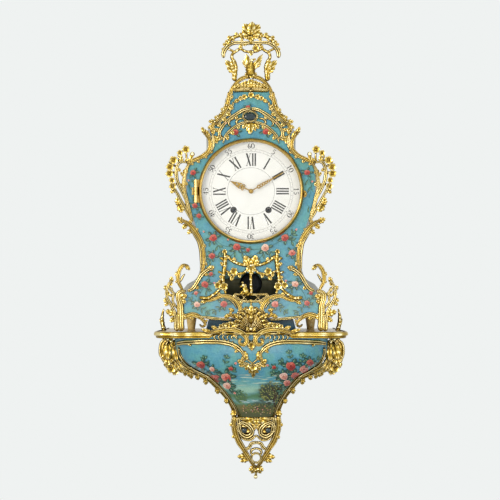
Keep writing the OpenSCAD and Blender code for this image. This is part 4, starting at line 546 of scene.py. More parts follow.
def crown_glass(name):
    # Thin blown glass, domed: nearly clear, with a soft gleam; towards its rim it turns more opaque and near
    # white, a painted reflection at grazing angles
    m, tree, shader, place = new_material(name)
    edge = add(tree, "ShaderNodeLayerWeight", [("Blend", 0.25)], out="Facing")
    # painted reflection: alpha rises at grazing angles so that the near-white colour shows at the rim
    clear = add(tree, RAMP, [("Fac", edge)], [(0.0, 0.015), (0.7, 0.05), (1.0, 0.35)])
    waver = add(tree, NOISE, [("Vector", place), ("Scale", per_mm(30)), ("Detail", 2), ("Roughness", 0.55)])
    cool = add(tree, RAMP, [("Fac", waver)], [(0.3, "#E6EEEE"), (0.7, "#F4F8F8")])
    ripple = add(tree, BUMP, [("Height", waver), ("Strength", 0.02), ("Distance", 1.0 * MM)])
    dress(tree, shader, [("Alpha", clear), ("Base Color", cool), ("Normal", ripple)],
          Roughness=0.03, Specular_IOR_Level=0.5)
    return m


MATERIALS = {}


def make_materials():
    MATERIALS.update({
        "gilt_bronze": fire_gilt("Fire-gilt bronze, chased"),
        "gilt_plain": fire_gilt("Fire-gilt bronze, turned", cast=False),
        "painted_lacquer": blue_lacquer("Blue lacquer on gesso"),
        "shelf_lacquer": blue_lacquer("Blue lacquer, gilt above", gilt_top=True),
        "paint": brushed_paint("Oil colours under varnish"),
        # Grey-cream painted sides, rubbed and a little dirty
        "side_lacquer": plain_coat("Grey cream painted wood", "#77766A", "#A9A89A", "#C4C3B4", 40, 0.5,
                                   coat=0.1),
        # Dark blue lacquer, almost black, glossy
        "dark_lacquer": plain_coat("Dark blue lacquer", "#0F3046", "#184860", "#27617A", 30, 0.5, coat=0.05),
        # The hands: pierced and chased brass, gilding rubbed down to brown
        "gilt_rubbed": plain_coat("Brass, rubbed gilding", "#4E3C1C", "#94763A", "#C9A85E", 2.2, 0.34,
                                  metal=1.0, depth=0.5),
        # Limewood feet and floor under worn water gilding, coloured pale and left non-metal so that the feet,
        # in the shade under the case, still read bright: partly painted light
        "gilt_wood": plain_coat("Water-gilt wood", "#C4A55C", "#E2C67E", "#F2DFA6", 7, 0.45, depth=0.3),
        # Oak inside the case and round the back door, coloured a pale grey-green far lighter than old oak so
        # that it shows in the shaded inside: painted fill light
        "frame_oak": plain_coat("Oak, pale as painted fill light", "#A6A98A", "#C2C4A2", "#D8D8BA", 26, 0.66, depth=0.4,
                                stretch=(1, 1, 0.12)),
        # Thin grey-green paint on the inside of the case, made much paler than the paint so that it shows in
        # the shade inside the case: painted fill light
        "inner_paint": plain_coat("Inner paint, pale as painted fill light", "#84C6CA", "#A2DCDC", "#BCEAE6", 30, 0.6),
        # Oak left bare on the hidden sides: long grain upwards, dry
        "bare_oak": plain_coat("Sawn oak, bare", "#4E3820", "#6E5232", "#8A6C46", 24, 0.68, depth=0.5,
                               stretch=(1, 1, 0.12)),
        # Hammered and filed brass plates, lightly tarnished
        "movement_brass": plain_coat("Brass, filed", "#8E6F2A", "#C09B48", "#D8B968", 18, 0.3, metal=1.0),
        # Steel heated to blue, polished
        "blued_steel": plain_coat("Blued steel, polished", "#151A22", "#28303C", "#4A525E", 9, 0.26,
                                  metal=1.0),
        # Forge-black iron, matt
        "blackened_iron": plain_coat("Blackened iron", "#15171A", "#24272B", "#3A3E42", 12, 0.5, metal=0.8),
        # Fired white enamel on copper: even, glassy, faintly warm
        "enamel": plain_coat("Fired white enamel", "#F3F4EF", "#F8F9F5", "#FCFCF9", 50, 0.14, coat=0.4,
                             depth=0.02),
        "clear_glass": crown_glass("Blown crown glass"),
        # Black fired numerals, slightly glossy
        "enamel_black": plain_coat("Black fired enamel", "#0B0B0D", "#121214", "#1D1D20", 3, 0.28, coat=0.2),
        # Dark green-blue polished stone; in the eyes of the terminal scrolls its dark also stands in for the
        # shade seen through those openings
        "stone": plain_coat("Polished dark stone", "#0A1418", "#12262C", "#2A4A50", 5, 0.15, coat=0.5),
    })


def new_mesh(name, points, faces, tones=None, **marks):
    """A mesh with named values and a painted colour at its points, where they are given."""
    mesh = bpy.data.meshes.new(name)
    mesh.from_pydata(np.asarray(points, float).tolist(), [], faces)
    for key, values in marks.items():
        mesh.attributes.new(key, "FLOAT", "POINT").data.foreach_set("value", values.astype(np.float32))
    if tones is not None:
        layer = mesh.color_attributes.new("tone", "FLOAT_COLOR", "POINT")
        layer.data.foreach_set("color", np.asarray(tones, np.float32).reshape(-1))
    return mesh


def finish_piece(mesh, node, slot, material, replaced=()):
    """Puts a mesh in the scene as a piece on the body of its node, in place of the replaced ones."""
    mesh.shade_smooth()
    mesh.materials.append(MATERIALS[material])
    obj = bpy.data.objects.new(mesh.name, mesh)
    bpy.context.scene.collection.objects.link(obj)
    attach(obj, NODES[node]["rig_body"])
    if replaced:
        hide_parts(*replaced)
    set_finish(obj, slot)
    return obj


# Gilt mounts, in squares of the pattern of their seat
def oval(x, z, wide, tall):
    """Points for a band that runs round an oval and closes on itself."""
    turn = [2 * math.pi * k / 20 for k in range(20)]
    return [[x + wide * math.cos(a), z + tall * math.sin(a)] for a in turn] + [[x + wide, z]]


def crown_bower(c):
    c.up = 2.4
    for c.side in (-1, 1):
        c.twig([[16.6, 250], [15.6, 258], [15, 264], [16.4, 269], [18.8, 273], [18.6, 276.6], [15.6, 279.4],
                [12, 281]], [1.7, 1.6, 1.4, 1.3, 1.2, 1.1, 0.9])
        c.twig([[18, 251], [17.4, 258], [17.8, 264], [20.6, 269.6]], [0.9, 1.1, 0.9, 0.5], 0.5)
        c.band([[27.1, 273], [27.6, 277.4], [25.6, 282], [22, 285.6], [17, 288], [10, 288.4], [3.4, 288],
                [0.4, 287]], [1.3, 1.6, 1.5, 1.4, 1.3, 1.3, 1.4], 2.2, "pair")
        c.twig([[25, 282.6, 0.4], [21.6, 289.6, 1], [17, 293.4, 1], [11, 295], [3, 293.6]],
               [0.7, 1.3, 1.5, 1, 0.8])
        c.twig([[25, 283], [20.4, 281], [16.4, 279.4], [10.6, 282], [5.6, 279.6], [0, 279]],
               [0.7, 0.9, 1, 1, 1])
        c.leaves((((15, 259), (26, 270.4), 5, 1.8, 0), ((15.2, 258), (24, 264.6), 4.4, 1.6, 0.2),
                  ((15.6, 262), (19.6, 271), 3, 1.2, 0.8), ((24, 286), (28.4, 286.6), 2.8, 1.2, 0.6),
                  ((25.4, 282), (29.4, 281), 2.6, 1.2, 0.4), ((19.6, 291), (23.4, 294.6), 3.2, 1.4, 0.6),
                  ((21.6, 288), (26, 290), 3, 1.2, 0.7), ((14, 293.6), (15.4, 298.4), 3.2, 1.4, 0.4),
                  ((9.6, 294.6), (10.8, 298.4), 2.4, 1.2, 0.4), ((17, 293), (18.8, 289.6), 2.6, 1.2, 1.2),
                  ((1.2, 295), (9.4, 300.4), 6, 2, 0.4), ((1, 296), (7.4, 306.8), 6.6, 2.2, 0.2),
                  ((1, 294.6), (7.8, 294), 4, 1.6, 0.9), ((8.4, 295), (9.8, 289.4), 2.8, 1.2, 0.2),
                  ((11.4, 281.6), (9, 287.4), 2.8, 1.2, 0.2), ((4, 288.6), (7.4, 284.6), 2.6, 1.2, 0.6)))
    c.side = 1
    c.leaf([0, 294], [0, 309], 7, 2.4, 0.4)
    c.leaf([0, 295], [-0.6, 302], 4.6, 2, 1.4)
    c.twig([[0, 286], [0.4, 291], [0, 297]], [1.6, 2, 1.2])
    c.flower([4.6, 282.6], 3, 0.8)
    c.flower([-0.6, 292], 2.4, 1.6)
    c.leaf([0, 281], [0.4, 275], 3.2, 1.2)


def crown_figure(c):
    # a small dove with lifted wings on a rock
    c.up = 2.6
    c.twig([[0, 254], [-0.4, 258], [-0.6, 263], [0, 267], [1.4, 270]], [3.2, 3.4, 3.6, 2.6, 1.3], 0, 0.5)
    c.bead([0.8, 270.4], 2, 0.4)
    c.leaf([2, 271], [5, 272.2], 1.6, 0.8)
    for k in range(4):
        c.leaf([-2.4 + 0.3 * k, 262.6 + 0.6 * k], [-9 + 1.7 * k, 270.6 + 2.4 * k], 3, 1.3, 0.3 * k, 2)
        c.leaf([1 + 0.2 * k, 262.4 + 0.5 * k], [9.4 + 1.2 * k, 267.6 + 2.6 * k], 3, 1.5, 0.3 * k, 2)
    c.leaf([-2, 258], [-6, 255], 3.4, 1.2)
    c.leaf([2, 258], [5.6, 254.6], 3.4, 1.2)
    c.leaf([0, 260], [0.6, 252.6], 4.4, 1.8, 0.8)


def crown_rocaille(c):
    # the lowest band covers the joint with the board below
    c.band([[-17.5, 240.4], [0, 240.9], [17.5, 240.4]], 1.1, 1.6, "ridge")
    c.up = 0.2
    for c.side in (-1, 1):
        c.band([[0, 254.4, 1.4], [7, 253.6, 1.2], [13, 250, 1], [18.2, 243.6, 0.4], [20.4, 238], [21.4, 230]],
               [1.4, 1.5, 1.5, 1.4, 1.4, 1.2], 2.2, "channel")
        c.band([[0, 242.4, 1], [9, 242, 1], [18, 241, 0.6]], [1.3, 1.3, 1.2], 2.2, "reed")
        for k in range(5):
            c.leaf([3.4 * k, 243], [3.6 * k + 1.6, 252.4 - 1.5 * k], 4.4, 2, 0.8)
            c.leaf([3.4 * k + 1.4, 243], [3.2 * k + 1, 248.4 - 0.9 * k], 3.4, 1.8, 1.6)
            c.bead([3.2 * k + 1.2, 246.4 - 0.6 * k], 1.1, 2.2)
        c.leaf([0, 244], [2.4, 251], 3.6, 2, 1.8)


def crown_corners(c):
    c.up = 0.2
    for c.side in (-1, 1):
        c.band([[21.6, 240], [22.6, 232], [24.8, 224], [29, 217], [34, 211.6], [38.4, 205.6], [40, 199]],
               [1.2, 1.7, 1.9, 1.9, 1.8, 1.6, 0.8], 2.6, "channel")
        c.band([[17.4, 230], [19, 224.6], [23.4, 218], [29.4, 211.4], [34.6, 205]],
               [0.6, 1.1, 1.3, 1.1, 0.4], 2, "pair")
        c.leaves((((23.6, 226), (17.6, 222), 3.8), ((26.4, 220), (20.6, 215.4), 4),
                  ((30.4, 214.6), (25, 210.6), 3.8), ((34, 209), (30.4, 204.6), 3.6),
                  ((24, 222), (30.6, 221.4), 3.2), ((30.6, 214), (37, 213.6), 3.2),
                  ((35.6, 210), (42.6, 209.4), 3.2), ((37.6, 206), (43.6, 203.4), 2.8),
                  ((22.4, 233), (17.6, 235.4), 3), ((21.8, 237), (18, 238.8), 2.6)), 1.9)
        for k in range(5):
            c.bead([24.4 + 2.9 * k, 226 - 4.1 * k], 0.9, 2.2)


def crest_mount(c):
    c.up = 0.2
    for c.side in (-1, 1):
        c.band([[0, 222.8, 1], [7, 221.6, 0.8], [12.6, 218.6], [18, 215], [23.6, 210.6], [28.4, 205.4],
                [31.6, 199], [30.4, 193.6], [27, 193.4]],
               [1.1, 1.4, 1.5, 1.5, 1.4, 1.4, 1.3, 0.9], 2.2, "pair")
        c.band([[3, 209.6], [9.6, 208], [16, 204.6], [21.6, 200], [26, 194.6], [28, 188]],
               [0.8, 1.2, 1.3, 1.3, 1.1, 0.4], 2, "pair")
        c.band([[8, 213], [12, 212.6], [14.6, 209.6], [12.6, 206.8], [9.8, 208]],
               [0.7, 0.9, 0.9, 0.7], 1.6, "ridge")
        c.band([[16, 213], [20.4, 211.4], [22.4, 207.6], [20, 204.8]], [0.5, 0.8, 0.8, 0.5], 1.5, "ridge")
        c.leaves((((4.4, 209.4), (8, 202.6), 3.4), ((29, 196), (34.6, 190.6), 3.8),
                  ((31, 200), (36, 203), 2.8), ((20, 201.6), (17.4, 196.4), 3),
                  ((24.4, 197), (22.6, 191.4), 2.8), ((12, 207), (13, 201.8), 2.6),
                  ((15, 216.6), (14.4, 211.8), 2.6), ((12, 231.6), (17, 229.6), 2.8),
                  ((2, 208.6), (4, 200), 2.6)), 1.8)
        c.flower([6.6, 234.4], 2.3, 0.4)
        c.flower([10.4, 233], 2, 0.4)
        c.band([[0, 236], [6, 233.6], [12, 232], [16.6, 228.6]], [0.6, 0.8, 0.6, 0.3], 1.2, "ridge")
    c.side = 1
    c.flower([0, 236.2], 2.6, 0.6)
    c.leaf([0, 209.6], [0, 197], 4.6, 2.2)
    c.band(oval(-1, 215, 7, 5.2), 0.8, 2.2, "pair", loop=True)


def shoulder_mounts(c):
    c.up = 0.2
    for c.side in (-1, 1):
        c.band([[48.6, 201], [44.8, 196.6], [41.2, 191.4], [40.6, 185.6], [42.2, 180.6], [46.6, 176.4],
                [53, 173.2], [59, 170.4], [64.4, 167.4]],
               [0.4, 1.2, 1.5, 1.7, 1.8, 1.7, 1.5, 1.4, 1.1], 2.6, "channel")
        c.band([[38.6, 198], [37.8, 192], [38.2, 185], [39.6, 180]], [0.6, 1.3, 1.4, 0.6], 2, "pair")
        c.leaves((((44.6, 196.4), (49.8, 204.4), 3), ((41, 192), (44.6, 201.6), 2.8),
                  ((37.6, 196), (34.4, 187.6), 3.8), ((39.6, 190), (36.6, 184.6), 3),
                  ((47, 176.6), (43.6, 173.6), 2.6), ((39, 181.4), (41, 178), 2.6),
                  ((54, 172.4), (51.4, 168.6), 2.6), ((38.6, 196.6), (36.4, 204), 2.8),
                  ((60, 170), (58.4, 166), 2.4)), 1.7)


def dial_side_mounts(c):
    c.up = 0.3
    for c.side in (-1, 1):
        c.band([[58.4, 110], [64, 120.4], [69.2, 129.2], [73, 136.8], [76.6, 143.4], [79.4, 149]],
               [0.8, 1.3, 1.4, 1.2, 1, 0.6], 2, "pair")
        c.band([[58.4, 110], [62.2, 123], [64.8, 133.4], [66.8, 141], [67, 151], [65.6, 158.8], [63.4, 165],
                [60, 168.6]], [0.8, 1.4, 1.5, 1.5, 1.4, 1.4, 1.3, 0.8], 2.4, "reed")
        c.band([[64, 130], [69.4, 141], [73.8, 151.4], [74.6, 162], [71, 169.4], [64, 169]],
               [0.8, 1.2, 1.3, 1.3, 1.2, 0.7], 2, "pair")
        for points in ([[66, 168.6], [64.6, 174], [65, 181]], [[67, 169], [72, 171], [77, 171.2]],
                       [[74.4, 156], [77.6, 159.4], [81, 158.6]], [[74, 164], [78, 166.6], [81, 164.6]],
                       [[72, 148], [75, 147.4], [77.6, 145.8]], [[70, 171], [72.6, 175], [71.6, 179]]):
            c.twig(points, [0.7, 0.8, 0.6])
        for at, r in (((65, 182), 3.4), ((77.4, 171.4), 3.6), ((81, 164.6), 3.4), ((81.4, 158), 3.4),
                      ((78.2, 145.4), 3.2), ((71, 178.6), 2.6), ((79, 151.4), 2.6)):
            c.flower(at, r, 0.6)
        c.bead([58.6, 177.4], 2.4, 0.6)
        c.leaves((((61.6, 166.6), (58, 177.6), 3.4, 1.6), ((72, 127.4), (67.8, 119.4), 5, 2.2),
                  ((72.4, 126), (73.6, 134.6), 4, 1.8), ((70, 168), (69.4, 176.6), 3, 1.4),
                  ((66.6, 142), (70.6, 148.6), 2.8, 1.2), ((65.6, 156), (71, 158.6), 2.8, 1.2),
                  ((76, 143), (80, 138), 3, 1.4), ((68, 161), (62.6, 159), 2.8, 1.3),
                  ((74.4, 163), (70, 160.4), 2.6, 1.2), ((67, 150), (63.4, 146), 2.6, 1.2),
                  ((64, 169), (60.6, 173.4), 3, 1.4), ((78, 168), (82, 170.6), 2.4, 1.1)), 0.2)


def waist_mounts(c):
    c.up = 0.3
    for c.side in (-1, 1):
        c.band([[71.4, 111.4], [66, 110.2], [60, 105.8], [55, 99.6], [51, 93], [48.6, 86.4], [47.4, 78],
                [47.2, 70], [48.4, 62], [50.6, 58]],
               [0.6, 1.5, 1.9, 1.8, 1.6, 1.5, 1.4, 1.3, 0.8], 2.6, "channel")
        c.band([[60.6, 102.6], [55.6, 95], [52, 88], [50.4, 79], [50, 69.6], [50.4, 62.6]],
               [0.5, 0.9, 1, 1, 0.9, 0.5], 2, "ridge")
        c.leaves((((67, 109.6), (74.4, 113.4), 4), ((64, 107.6), (69, 103.4), 3.4),
                  ((59, 103), (63.4, 97.4), 3.2), ((52, 93), (49, 87), 2.6), ((49.6, 88), (45, 84.6), 2.8),
                  ((48, 72), (44.4, 66), 2.6), ((62, 108), (58.4, 112), 2.8), ((56, 101), (52.4, 103), 2.4)),
                 1.7)
        c.band([[38, 64], [43.6, 61.8], [49.4, 57], [53.6, 50], [58, 43.6], [63.6, 40.8]],
               [0.9, 1.6, 1.6, 1.5, 1.5, 1.2], 2.6, "pair")
        c.leaf([44, 62], [36.4, 65.4], 3.8, 1.8)
        c.leaf([48, 59], [42.4, 56.6], 3, 1.5)
        c.leaf([56, 46], [52, 42.6], 2.8, 1.4)


def aperture_trellis(c):
    c.up = 0.7
    for c.side in (-1, 1):
        for points, r in (
                ([[26, 80.6, 0.8], [25.8, 71, 0.8], [26.8, 61, 0.8], [28, 54.6, 0.8], [27.4, 47, 0.8]],
                 [1.2, 1.5, 1.6, 1.5, 1.2]),
                ([[31.4, 74, 0.8], [28.6, 73, 0.8], [26.2, 70, 0.8]], [1.1, 1, 0.9]),
                ([[33, 60.4, 0.8], [29.6, 59, 0.8], [27, 58, 0.8]], [0.9, 0.8, 0.8]),
                ([[51.6, 34.6, 0.8], [43.6, 34, 0.8], [36.6, 37.8, 0.8], [31, 43, 0.8], [27.6, 46.4, 0.8]],
                 [1.2, 1.3, 1.2, 1.1, 0.9]),
                ([[31, 42.6, 0.8], [34.2, 47.6, 0.8]], [0.9, 0.7]),
                ([[27.6, 46, 0.6], [25, 38, 0.6]], [1.1, 1]),
                ([[24.4, 76.4, 0.8], [18.4, 71, 0.8], [10, 67.4, 0.8], [0, 66.7, 0.8]], [1.3, 1.2, 1.2, 1.3]),
                ([[1.4, 65.4, 1], [7.2, 59.2, 1], [14, 57.8, 1], [18.6, 55.4, 1]], [1, 1, 1, 1]),
                ([[26.6, 62, 0.6], [22, 59.6, 0.6], [16, 58.6, 0.6]], [0.8, 0.8, 0.6])):
            c.twig(points, r)
        for at, r, up in (((27, 45.8), 3.4, 1.4), ((33.4, 46.6), 2.8, 1.2), ((17.2, 60.6), 3.2, 0.9),
                          ((30, 50), 2.4, 1), ((26.4, 80.4), 2, 0.8)):
            c.flower(at, r, up)
        c.leaves((((1, 66), (6.4, 76.4), 5.2, 1.8, 0.8), ((18, 56), (20.4, 51.6), 2.8, 1.2, 0.8),
                  ((0.6, 66), (4.6, 60.6), 3.4, 1.6, 1.4), ((26, 66), (31, 69.4), 2.8, 1.2, 0.8),
                  ((26.2, 72), (22.8, 76), 2.6, 1.1, 0.9), ((3, 66.6), (8.4, 71), 3, 1.2, 1),
                  ((16, 70), (17.4, 74.6), 2.6, 1.1, 0.6), ((27.6, 54), (32, 55.6), 2.8, 1.2, 0.8),
                  ((22, 59.6), (21, 55), 2.4, 1.1, 0.8), ((12, 58), (10.6, 54), 2.4, 1.1, 0.8)))
    c.side = 1
    c.leaf([0, 66], [0, 57], 4.4, 2, 1.2)
    c.bead([0, 66.4], 1.6, 1.6)


def aperture_group(c):
    # a small hound crouched on an openwork basin, before its pole
    c.up = 0.3
    c.twig([[-0.2, 60, 0.6], [0, 48, 0.6], [0, 36, 0.6]], 1.1)
    c.twig([[-3.2, 37, 1.4], [-5, 40, 1.5], [-6.2, 43.4, 1.6], [-7.4, 46, 1.6]], [2.3, 2.6, 2.2, 1.4], 0, 0.4)
    c.twig([[-2.8, 40, 1.6], [-2.4, 37.8, 1.6], [-5.4, 37, 1.9]], [1.5, 1.3, 0.6], 0, 0.3)
    c.bead([-7.8, 46.6], 2, 1.8)
    c.twig([[-7.6, 46.2, 2.2], [-10, 45.4, 2.2], [-11.4, 45, 2.1]], [1.5, 1.1, 0.6], 0, 0.2)
    c.leaf([-6.6, 48], [-4.8, 43.6], 2, 1.2, 2)
    c.leaf([-7.8, 48], [-8.8, 50.6], 1.4, 0.9, 1.8)
    c.twig([[-6.8, 41.6, 1.8], [-9.4, 39, 1.8], [-11, 37.4, 1.6]], [1.1, 0.9, 0.7], 0, 0.3)
    c.twig([[-5.4, 41, 2.6], [-7, 38.6, 2.6], [-8.8, 37.6, 2.4]], [1, 0.8, 0.6], 0, 0.3)
    c.twig([[-2.6, 38, 1], [0.4, 39.4, 1], [1.6, 43, 1]], [0.7, 0.6, 0.3], 0, 0.3)
    for c.side in (-1, 1):
        c.band([[0, 37.4], [9, 37.6], [17.4, 37.8]], 0.8, 1.8, "reed")
        c.band([[17.4, 37.6], [13, 33.4], [8, 31], [0, 30.4]], [0.8, 0.9, 1, 1], 2, "pair")
        c.band([[4, 37], [7.6, 33.6], [9, 31.4]], 0.5, 1.4, "ridge")
        c.band([[9.6, 37], [6, 33.6], [3, 30.6]], 0.5, 1.4, "ridge")
        c.leaf([15, 38], [17.8, 34.4], 2.4, 1.3, 0.4)
    c.side = 1
    c.band([[0, 30.8], [0, 26]], 0.8, 1.4, "ridge")
    c.leaf([-2, 31], [2, 31], 2.2, 1.1, 0.6)


def panel_scrolls(c):
    c.up = 0.3
    for c.side in (-1, 1):
        c.band([[50.6, 35], [43.6, 31.8], [36.6, 33.2], [29.6, 36], [21.2, 35.2], [14.2, 30.3], [10.7, 23.2],
                [12.8, 17.6], [17.6, 15.6], [20.6, 18.4], [19, 21.6]],
               [0.8, 1.4, 1.5, 1.5, 1.6, 1.7, 1.6, 1.3, 0.9], 2.2, "channel")
        c.band([[30.6, 35], [22.6, 33], [17, 28.4], [14, 23]], [0.4, 0.8, 0.8, 0.5], 1.6, "ridge")
        c.leaves((((20, 17), (27, 15.4), 3.2), ((44, 32), (50.6, 28.6), 3), ((12, 27), (8, 31.6), 2.8),
                  ((17, 21), (22.6, 23.4), 2.6), ((30, 36), (34.6, 39.6), 2.8), ((38, 33), (41.4, 36.6), 2.4),
                  ((15, 31), (12.4, 35), 2.4)), 1.5)


def apron_shell(c):
    c.up = 1
    for c.side in (-1, 1):
        for k in range(1, 6):
            reach, a = 24.5 - 1.6 * k, math.radians(90 - 13.5 * k)
            tilt, hook = a + math.radians(3), a - math.radians(7)
            c.band([[0.6 * k, 1.2], [reach * 0.45 * math.cos(a) + 1, reach * 0.52 * math.sin(a) + 1.4],
                    [reach * math.cos(tilt), reach * math.sin(tilt) + 1.6 - k * 0.4],
                    [reach * math.cos(hook) + 1.2, reach * math.sin(hook) - 0.4 - k * 0.5]],
                   [0.9, 1.5, 1.8, 0.5], [3, 3, 2.6, 1.4], "channel")
            c.leaf([reach * math.cos(tilt) * 0.8, reach * math.sin(tilt) * 0.8, 1.4],
                   [reach * math.cos(tilt), reach * math.sin(tilt) + 1.4, 2], 2.6, 1.6, 0, 2)
        c.leaf([13, 6], [23.4, 8.8], 3.8, 2.4)
        c.leaf([9, 11], [17.6, 18.6], 3.8, 2.4)
        c.leaf([1, 4], [4.8, 1.2], 4.2, 3, 1)
    c.side = 1
    c.band([[0, 1.2], [0, 12], [0, 25.6]], [1.3, 1.9, 1.3], [3.4, 3.4, 2], "channel")
    c.leaf([0, 16, 1.6], [0, 27, 1], 4, 2)
    c.bead([0, 3], 2.2, 2.2)
    c.leaf([0, 8], [0, 20], 2.8, 4, 1)


def foot_mount_left(c):
    foot_mount(c, -1)


def foot_mount_right(c):
    foot_mount(c, 1)


def foot_mount(c, side):
    c.up, c.side = 0.4, side
    c.band([[69.6, 0.8, 0.6], [70.3, 8], [70.6, 18], [70.8, 27], [72.6, 34], [71.4, 39], [65, 41.4]],
           [3, 2.5, 2.7, 2.5, 2.1, 2, 1.2], [3.8, 3.2, 3.2, 3, 2.4], "reed")
    c.band([[73.8, 0.7, 0.4], [74.6, 6], [75, 13], [76.4, 20], [80, 27], [83.6, 34], [84.2, 41.6],
            [81.6, 48.6], [77.4, 51.2]], [2, 1.7, 1.3, 1.2, 1.2, 1.1, 1.1, 1, 0.6], 2, "pair")
    c.band([[71, 33], [76, 38], [80.6, 42], [82, 48]], [0.9, 1, 0.9, 0.5], 1.7, "pair")
    c.band([[72, 22], [78, 30], [77.6, 38], [80, 45]], [0.8, 1, 0.9, 0.6], 1.7, "pair")
    c.band([[62.6, 66.6], [68, 66.4], [72.2, 60], [72.8, 51], [69.6, 44], [68, 40]],
           [0.5, 1.4, 1.6, 1.5, 1.3, 0.8], 2.2, "channel")
    c.band([[66, 58], [68.6, 54.6], [70.6, 50]], [0.5, 0.9, 0.5], 1.4, "ridge")
    c.band([[68.6, 14], [59, 17.4], [51, 14.6], [45.8, 8.4], [48.6, 5.4], [51.6, 8]],
           [1.7, 2, 1.8, 1.4, 1, 0.6], 2.6, "channel")
    c.band([[52, 15.4], [41, 14.2], [27, 12.8], [19, 12.5]], [0.9, 1.1, 1, 0.7], 2.2, "pair")
    c.leaves((((74, 18), (85.8, 20.4), 5, 2.2), ((76, 14.6), (81, 10), 3.6, 1.8),
              ((84, 34), (87.4, 30), 2.8, 1.3), ((84, 42), (86.8, 46.4), 3, 1.4),
              ((80, 50), (78.6, 55.4), 3, 1.4), ((72.6, 33), (64, 37.4), 5, 2.6),
              ((71, 30), (64.6, 30.6), 3.8, 2.2), ((72, 60), (76, 56.4), 2.8, 1.3),
              ((66, 66.6), (60.4, 62.4), 3, 1.5), ((70, 20), (66, 12), 3.8, 2.8),
              ((79, 29), (75, 25.6), 2.8, 1.3), ((82, 30), (86.6, 26.4), 2.8, 1.4),
              ((70.6, 12), (72.6, 20), 3, 3), ((61, 17), (58.4, 12), 3, 1.6),
              ((78, 36), (82.6, 37.6), 2.4, 1.2), ((71.6, 52), (75.6, 49), 2.4, 1.2),
              ((47, 9), (43.6, 12.6), 2.4, 1.3)))
    c.flower([83.4, 38.4], 2.4, 0.6)
    c.flower([80.6, 48.4], 2.2, 0.6)


def shelf_crest(c):
    c.up = 2
    for c.side in (-1, 1):
        c.band([[46, -0.5], [38, 0.4], [31, 2.2], [22, 3.4], [13, 1.7], [6, -3], [4.3, -8], [6.6, -11.5],
                [10.6, -11], [11.8, -7.5], [9, -6]], [0.6, 1.3, 1.8, 2, 1.8, 1.4, 1], 2.2, "channel")
        c.band([[40, 2], [32, 4.4], [24, 5.6], [16, 4.2]], [0.5, 1, 0.6], 1.6, "ridge")
        c.flower([24, 7], 2.6, 0.6)
        c.flower([30, 6.2], 2.1, 0.6)
        c.flower([27, 7.6], 1.9, 0.8)
        c.leaves((((34, 3.6), (40, 6), 2.8), ((20, 5), (13, 7), 2.8), ((39.6, 0), (50, 4), 2.8),
                  ((14, 1), (17.4, -4), 3), ((26, 3), (28.6, -1.4), 2.6), ((6, -4), (1.6, -2), 2.8)), 1.4)


def frieze_mounts(c):
    c.up = -0.5
    for c.side in (-1, 1):
        c.band([[74.5, -12.6], [68, -11], [60, -10], [52, -9.6], [45, -9.2], [31, -9.3], [22, -10.9],
                [14.5, -14.2], [10, -18.8], [7.2, -24]],
               [1.2, 1.8, 2, 2, 2, 2, 2, 2, 1.8, 0.6], [2, 2, 2, 2.2, 2.6], "pair")
        for x, q in ((34, -8.2), (29.6, -8.6), (25.4, -9), (21.2, -10), (17.4, -11.6)):
            c.band([[x, q], [x + 1.5, q + 1.6], [x + 0.2, q + 3.4]], [0.5, 0.9, 0.4], 1.8, "ridge")
        c.leaf([9, -18], [5, -27], 4, 2.4)
        c.leaf([18, -11.6], [14, -17.5], 2.8, 2.6)
        c.leaf([64, -9.6], [60, -14.6], 2.6, 2)
        c.leaf([12, -16], [16.6, -20], 2.6, 2.2)
        c.leaf([7.4, -23], [10, -27.4], 2.4, 2)
        c.bead([2.4, -12], 1.4, 1.6)
        c.leaf([3, -7], [0.4, -18], 3.6, 2.6)
    c.side = 1
    c.flower([0, -12.4], 3, 2.2)


def bracket_corners(c):
    c.up = -1
    for c.side in (-1, 1):
        c.twig([[79, -14, 1], [86, -6, 1], [89.5, 4, 0], [90.5, 13, -1], [89, 22, -1]],
               [1.8, 1.8, 1.7, 1.4, 0.5])
        c.twig([[84, -6, 1], [89, 2, 0], [92, 8, 0], [93, 12, 0]], [1.2, 1, 0.8, 0.3])
        c.band([[80, -4], [85, -3], [88, -7], [87, -12], [82.5, -12.5], [81, -9], [83.5, -7.6]],
               [1, 1.7, 2, 1.9, 1.6, 1.2, 0.7], 4.2, "channel")
        c.band([[84, -8], [89.5, -14], [90.5, -22], [87, -31], [81, -38]],
               [1.4, 3, 3.4, 2.6, 0.8], 4.4, "channel")
        c.leaves((((80, -10), (77, -31), 8.6, 4.2), ((87, -22), (92, -31), 4.4, 2.6),
                  ((85, -24), (88.6, -38), 6.4, 3.4), ((79, -28), (71.6, -44), 6.4, 3),
                  ((84, -12), (86.6, -30), 7.4, 5), ((80, -6), (75, -3.4), 3.4, 3),
                  ((81, -32), (79, -45), 5.4, 3.4)), 0.6)
        c.flower([83.5, -39], 4, 2.4)
        c.flower([80, -42], 3.4, 2)
        c.flower([87, -33], 2.6, 2.6)
        c.bead([84.4, -9], 1.7, 4)
        c.band([[77, -14], [78.4, -22], [76, -31], [70, -38.6], [62, -42.6], [52, -43]],
               [1.3, 1.5, 1.5, 1.3, 1.1, 0.3], 2.8, "pair")
        for x, q in ((74, -33), (70, -38), (64, -41)):
            c.leaf([x, q, 1], [x + 2 - 0.04 * x, q - 8.4, 1], 3.8, 2.2)


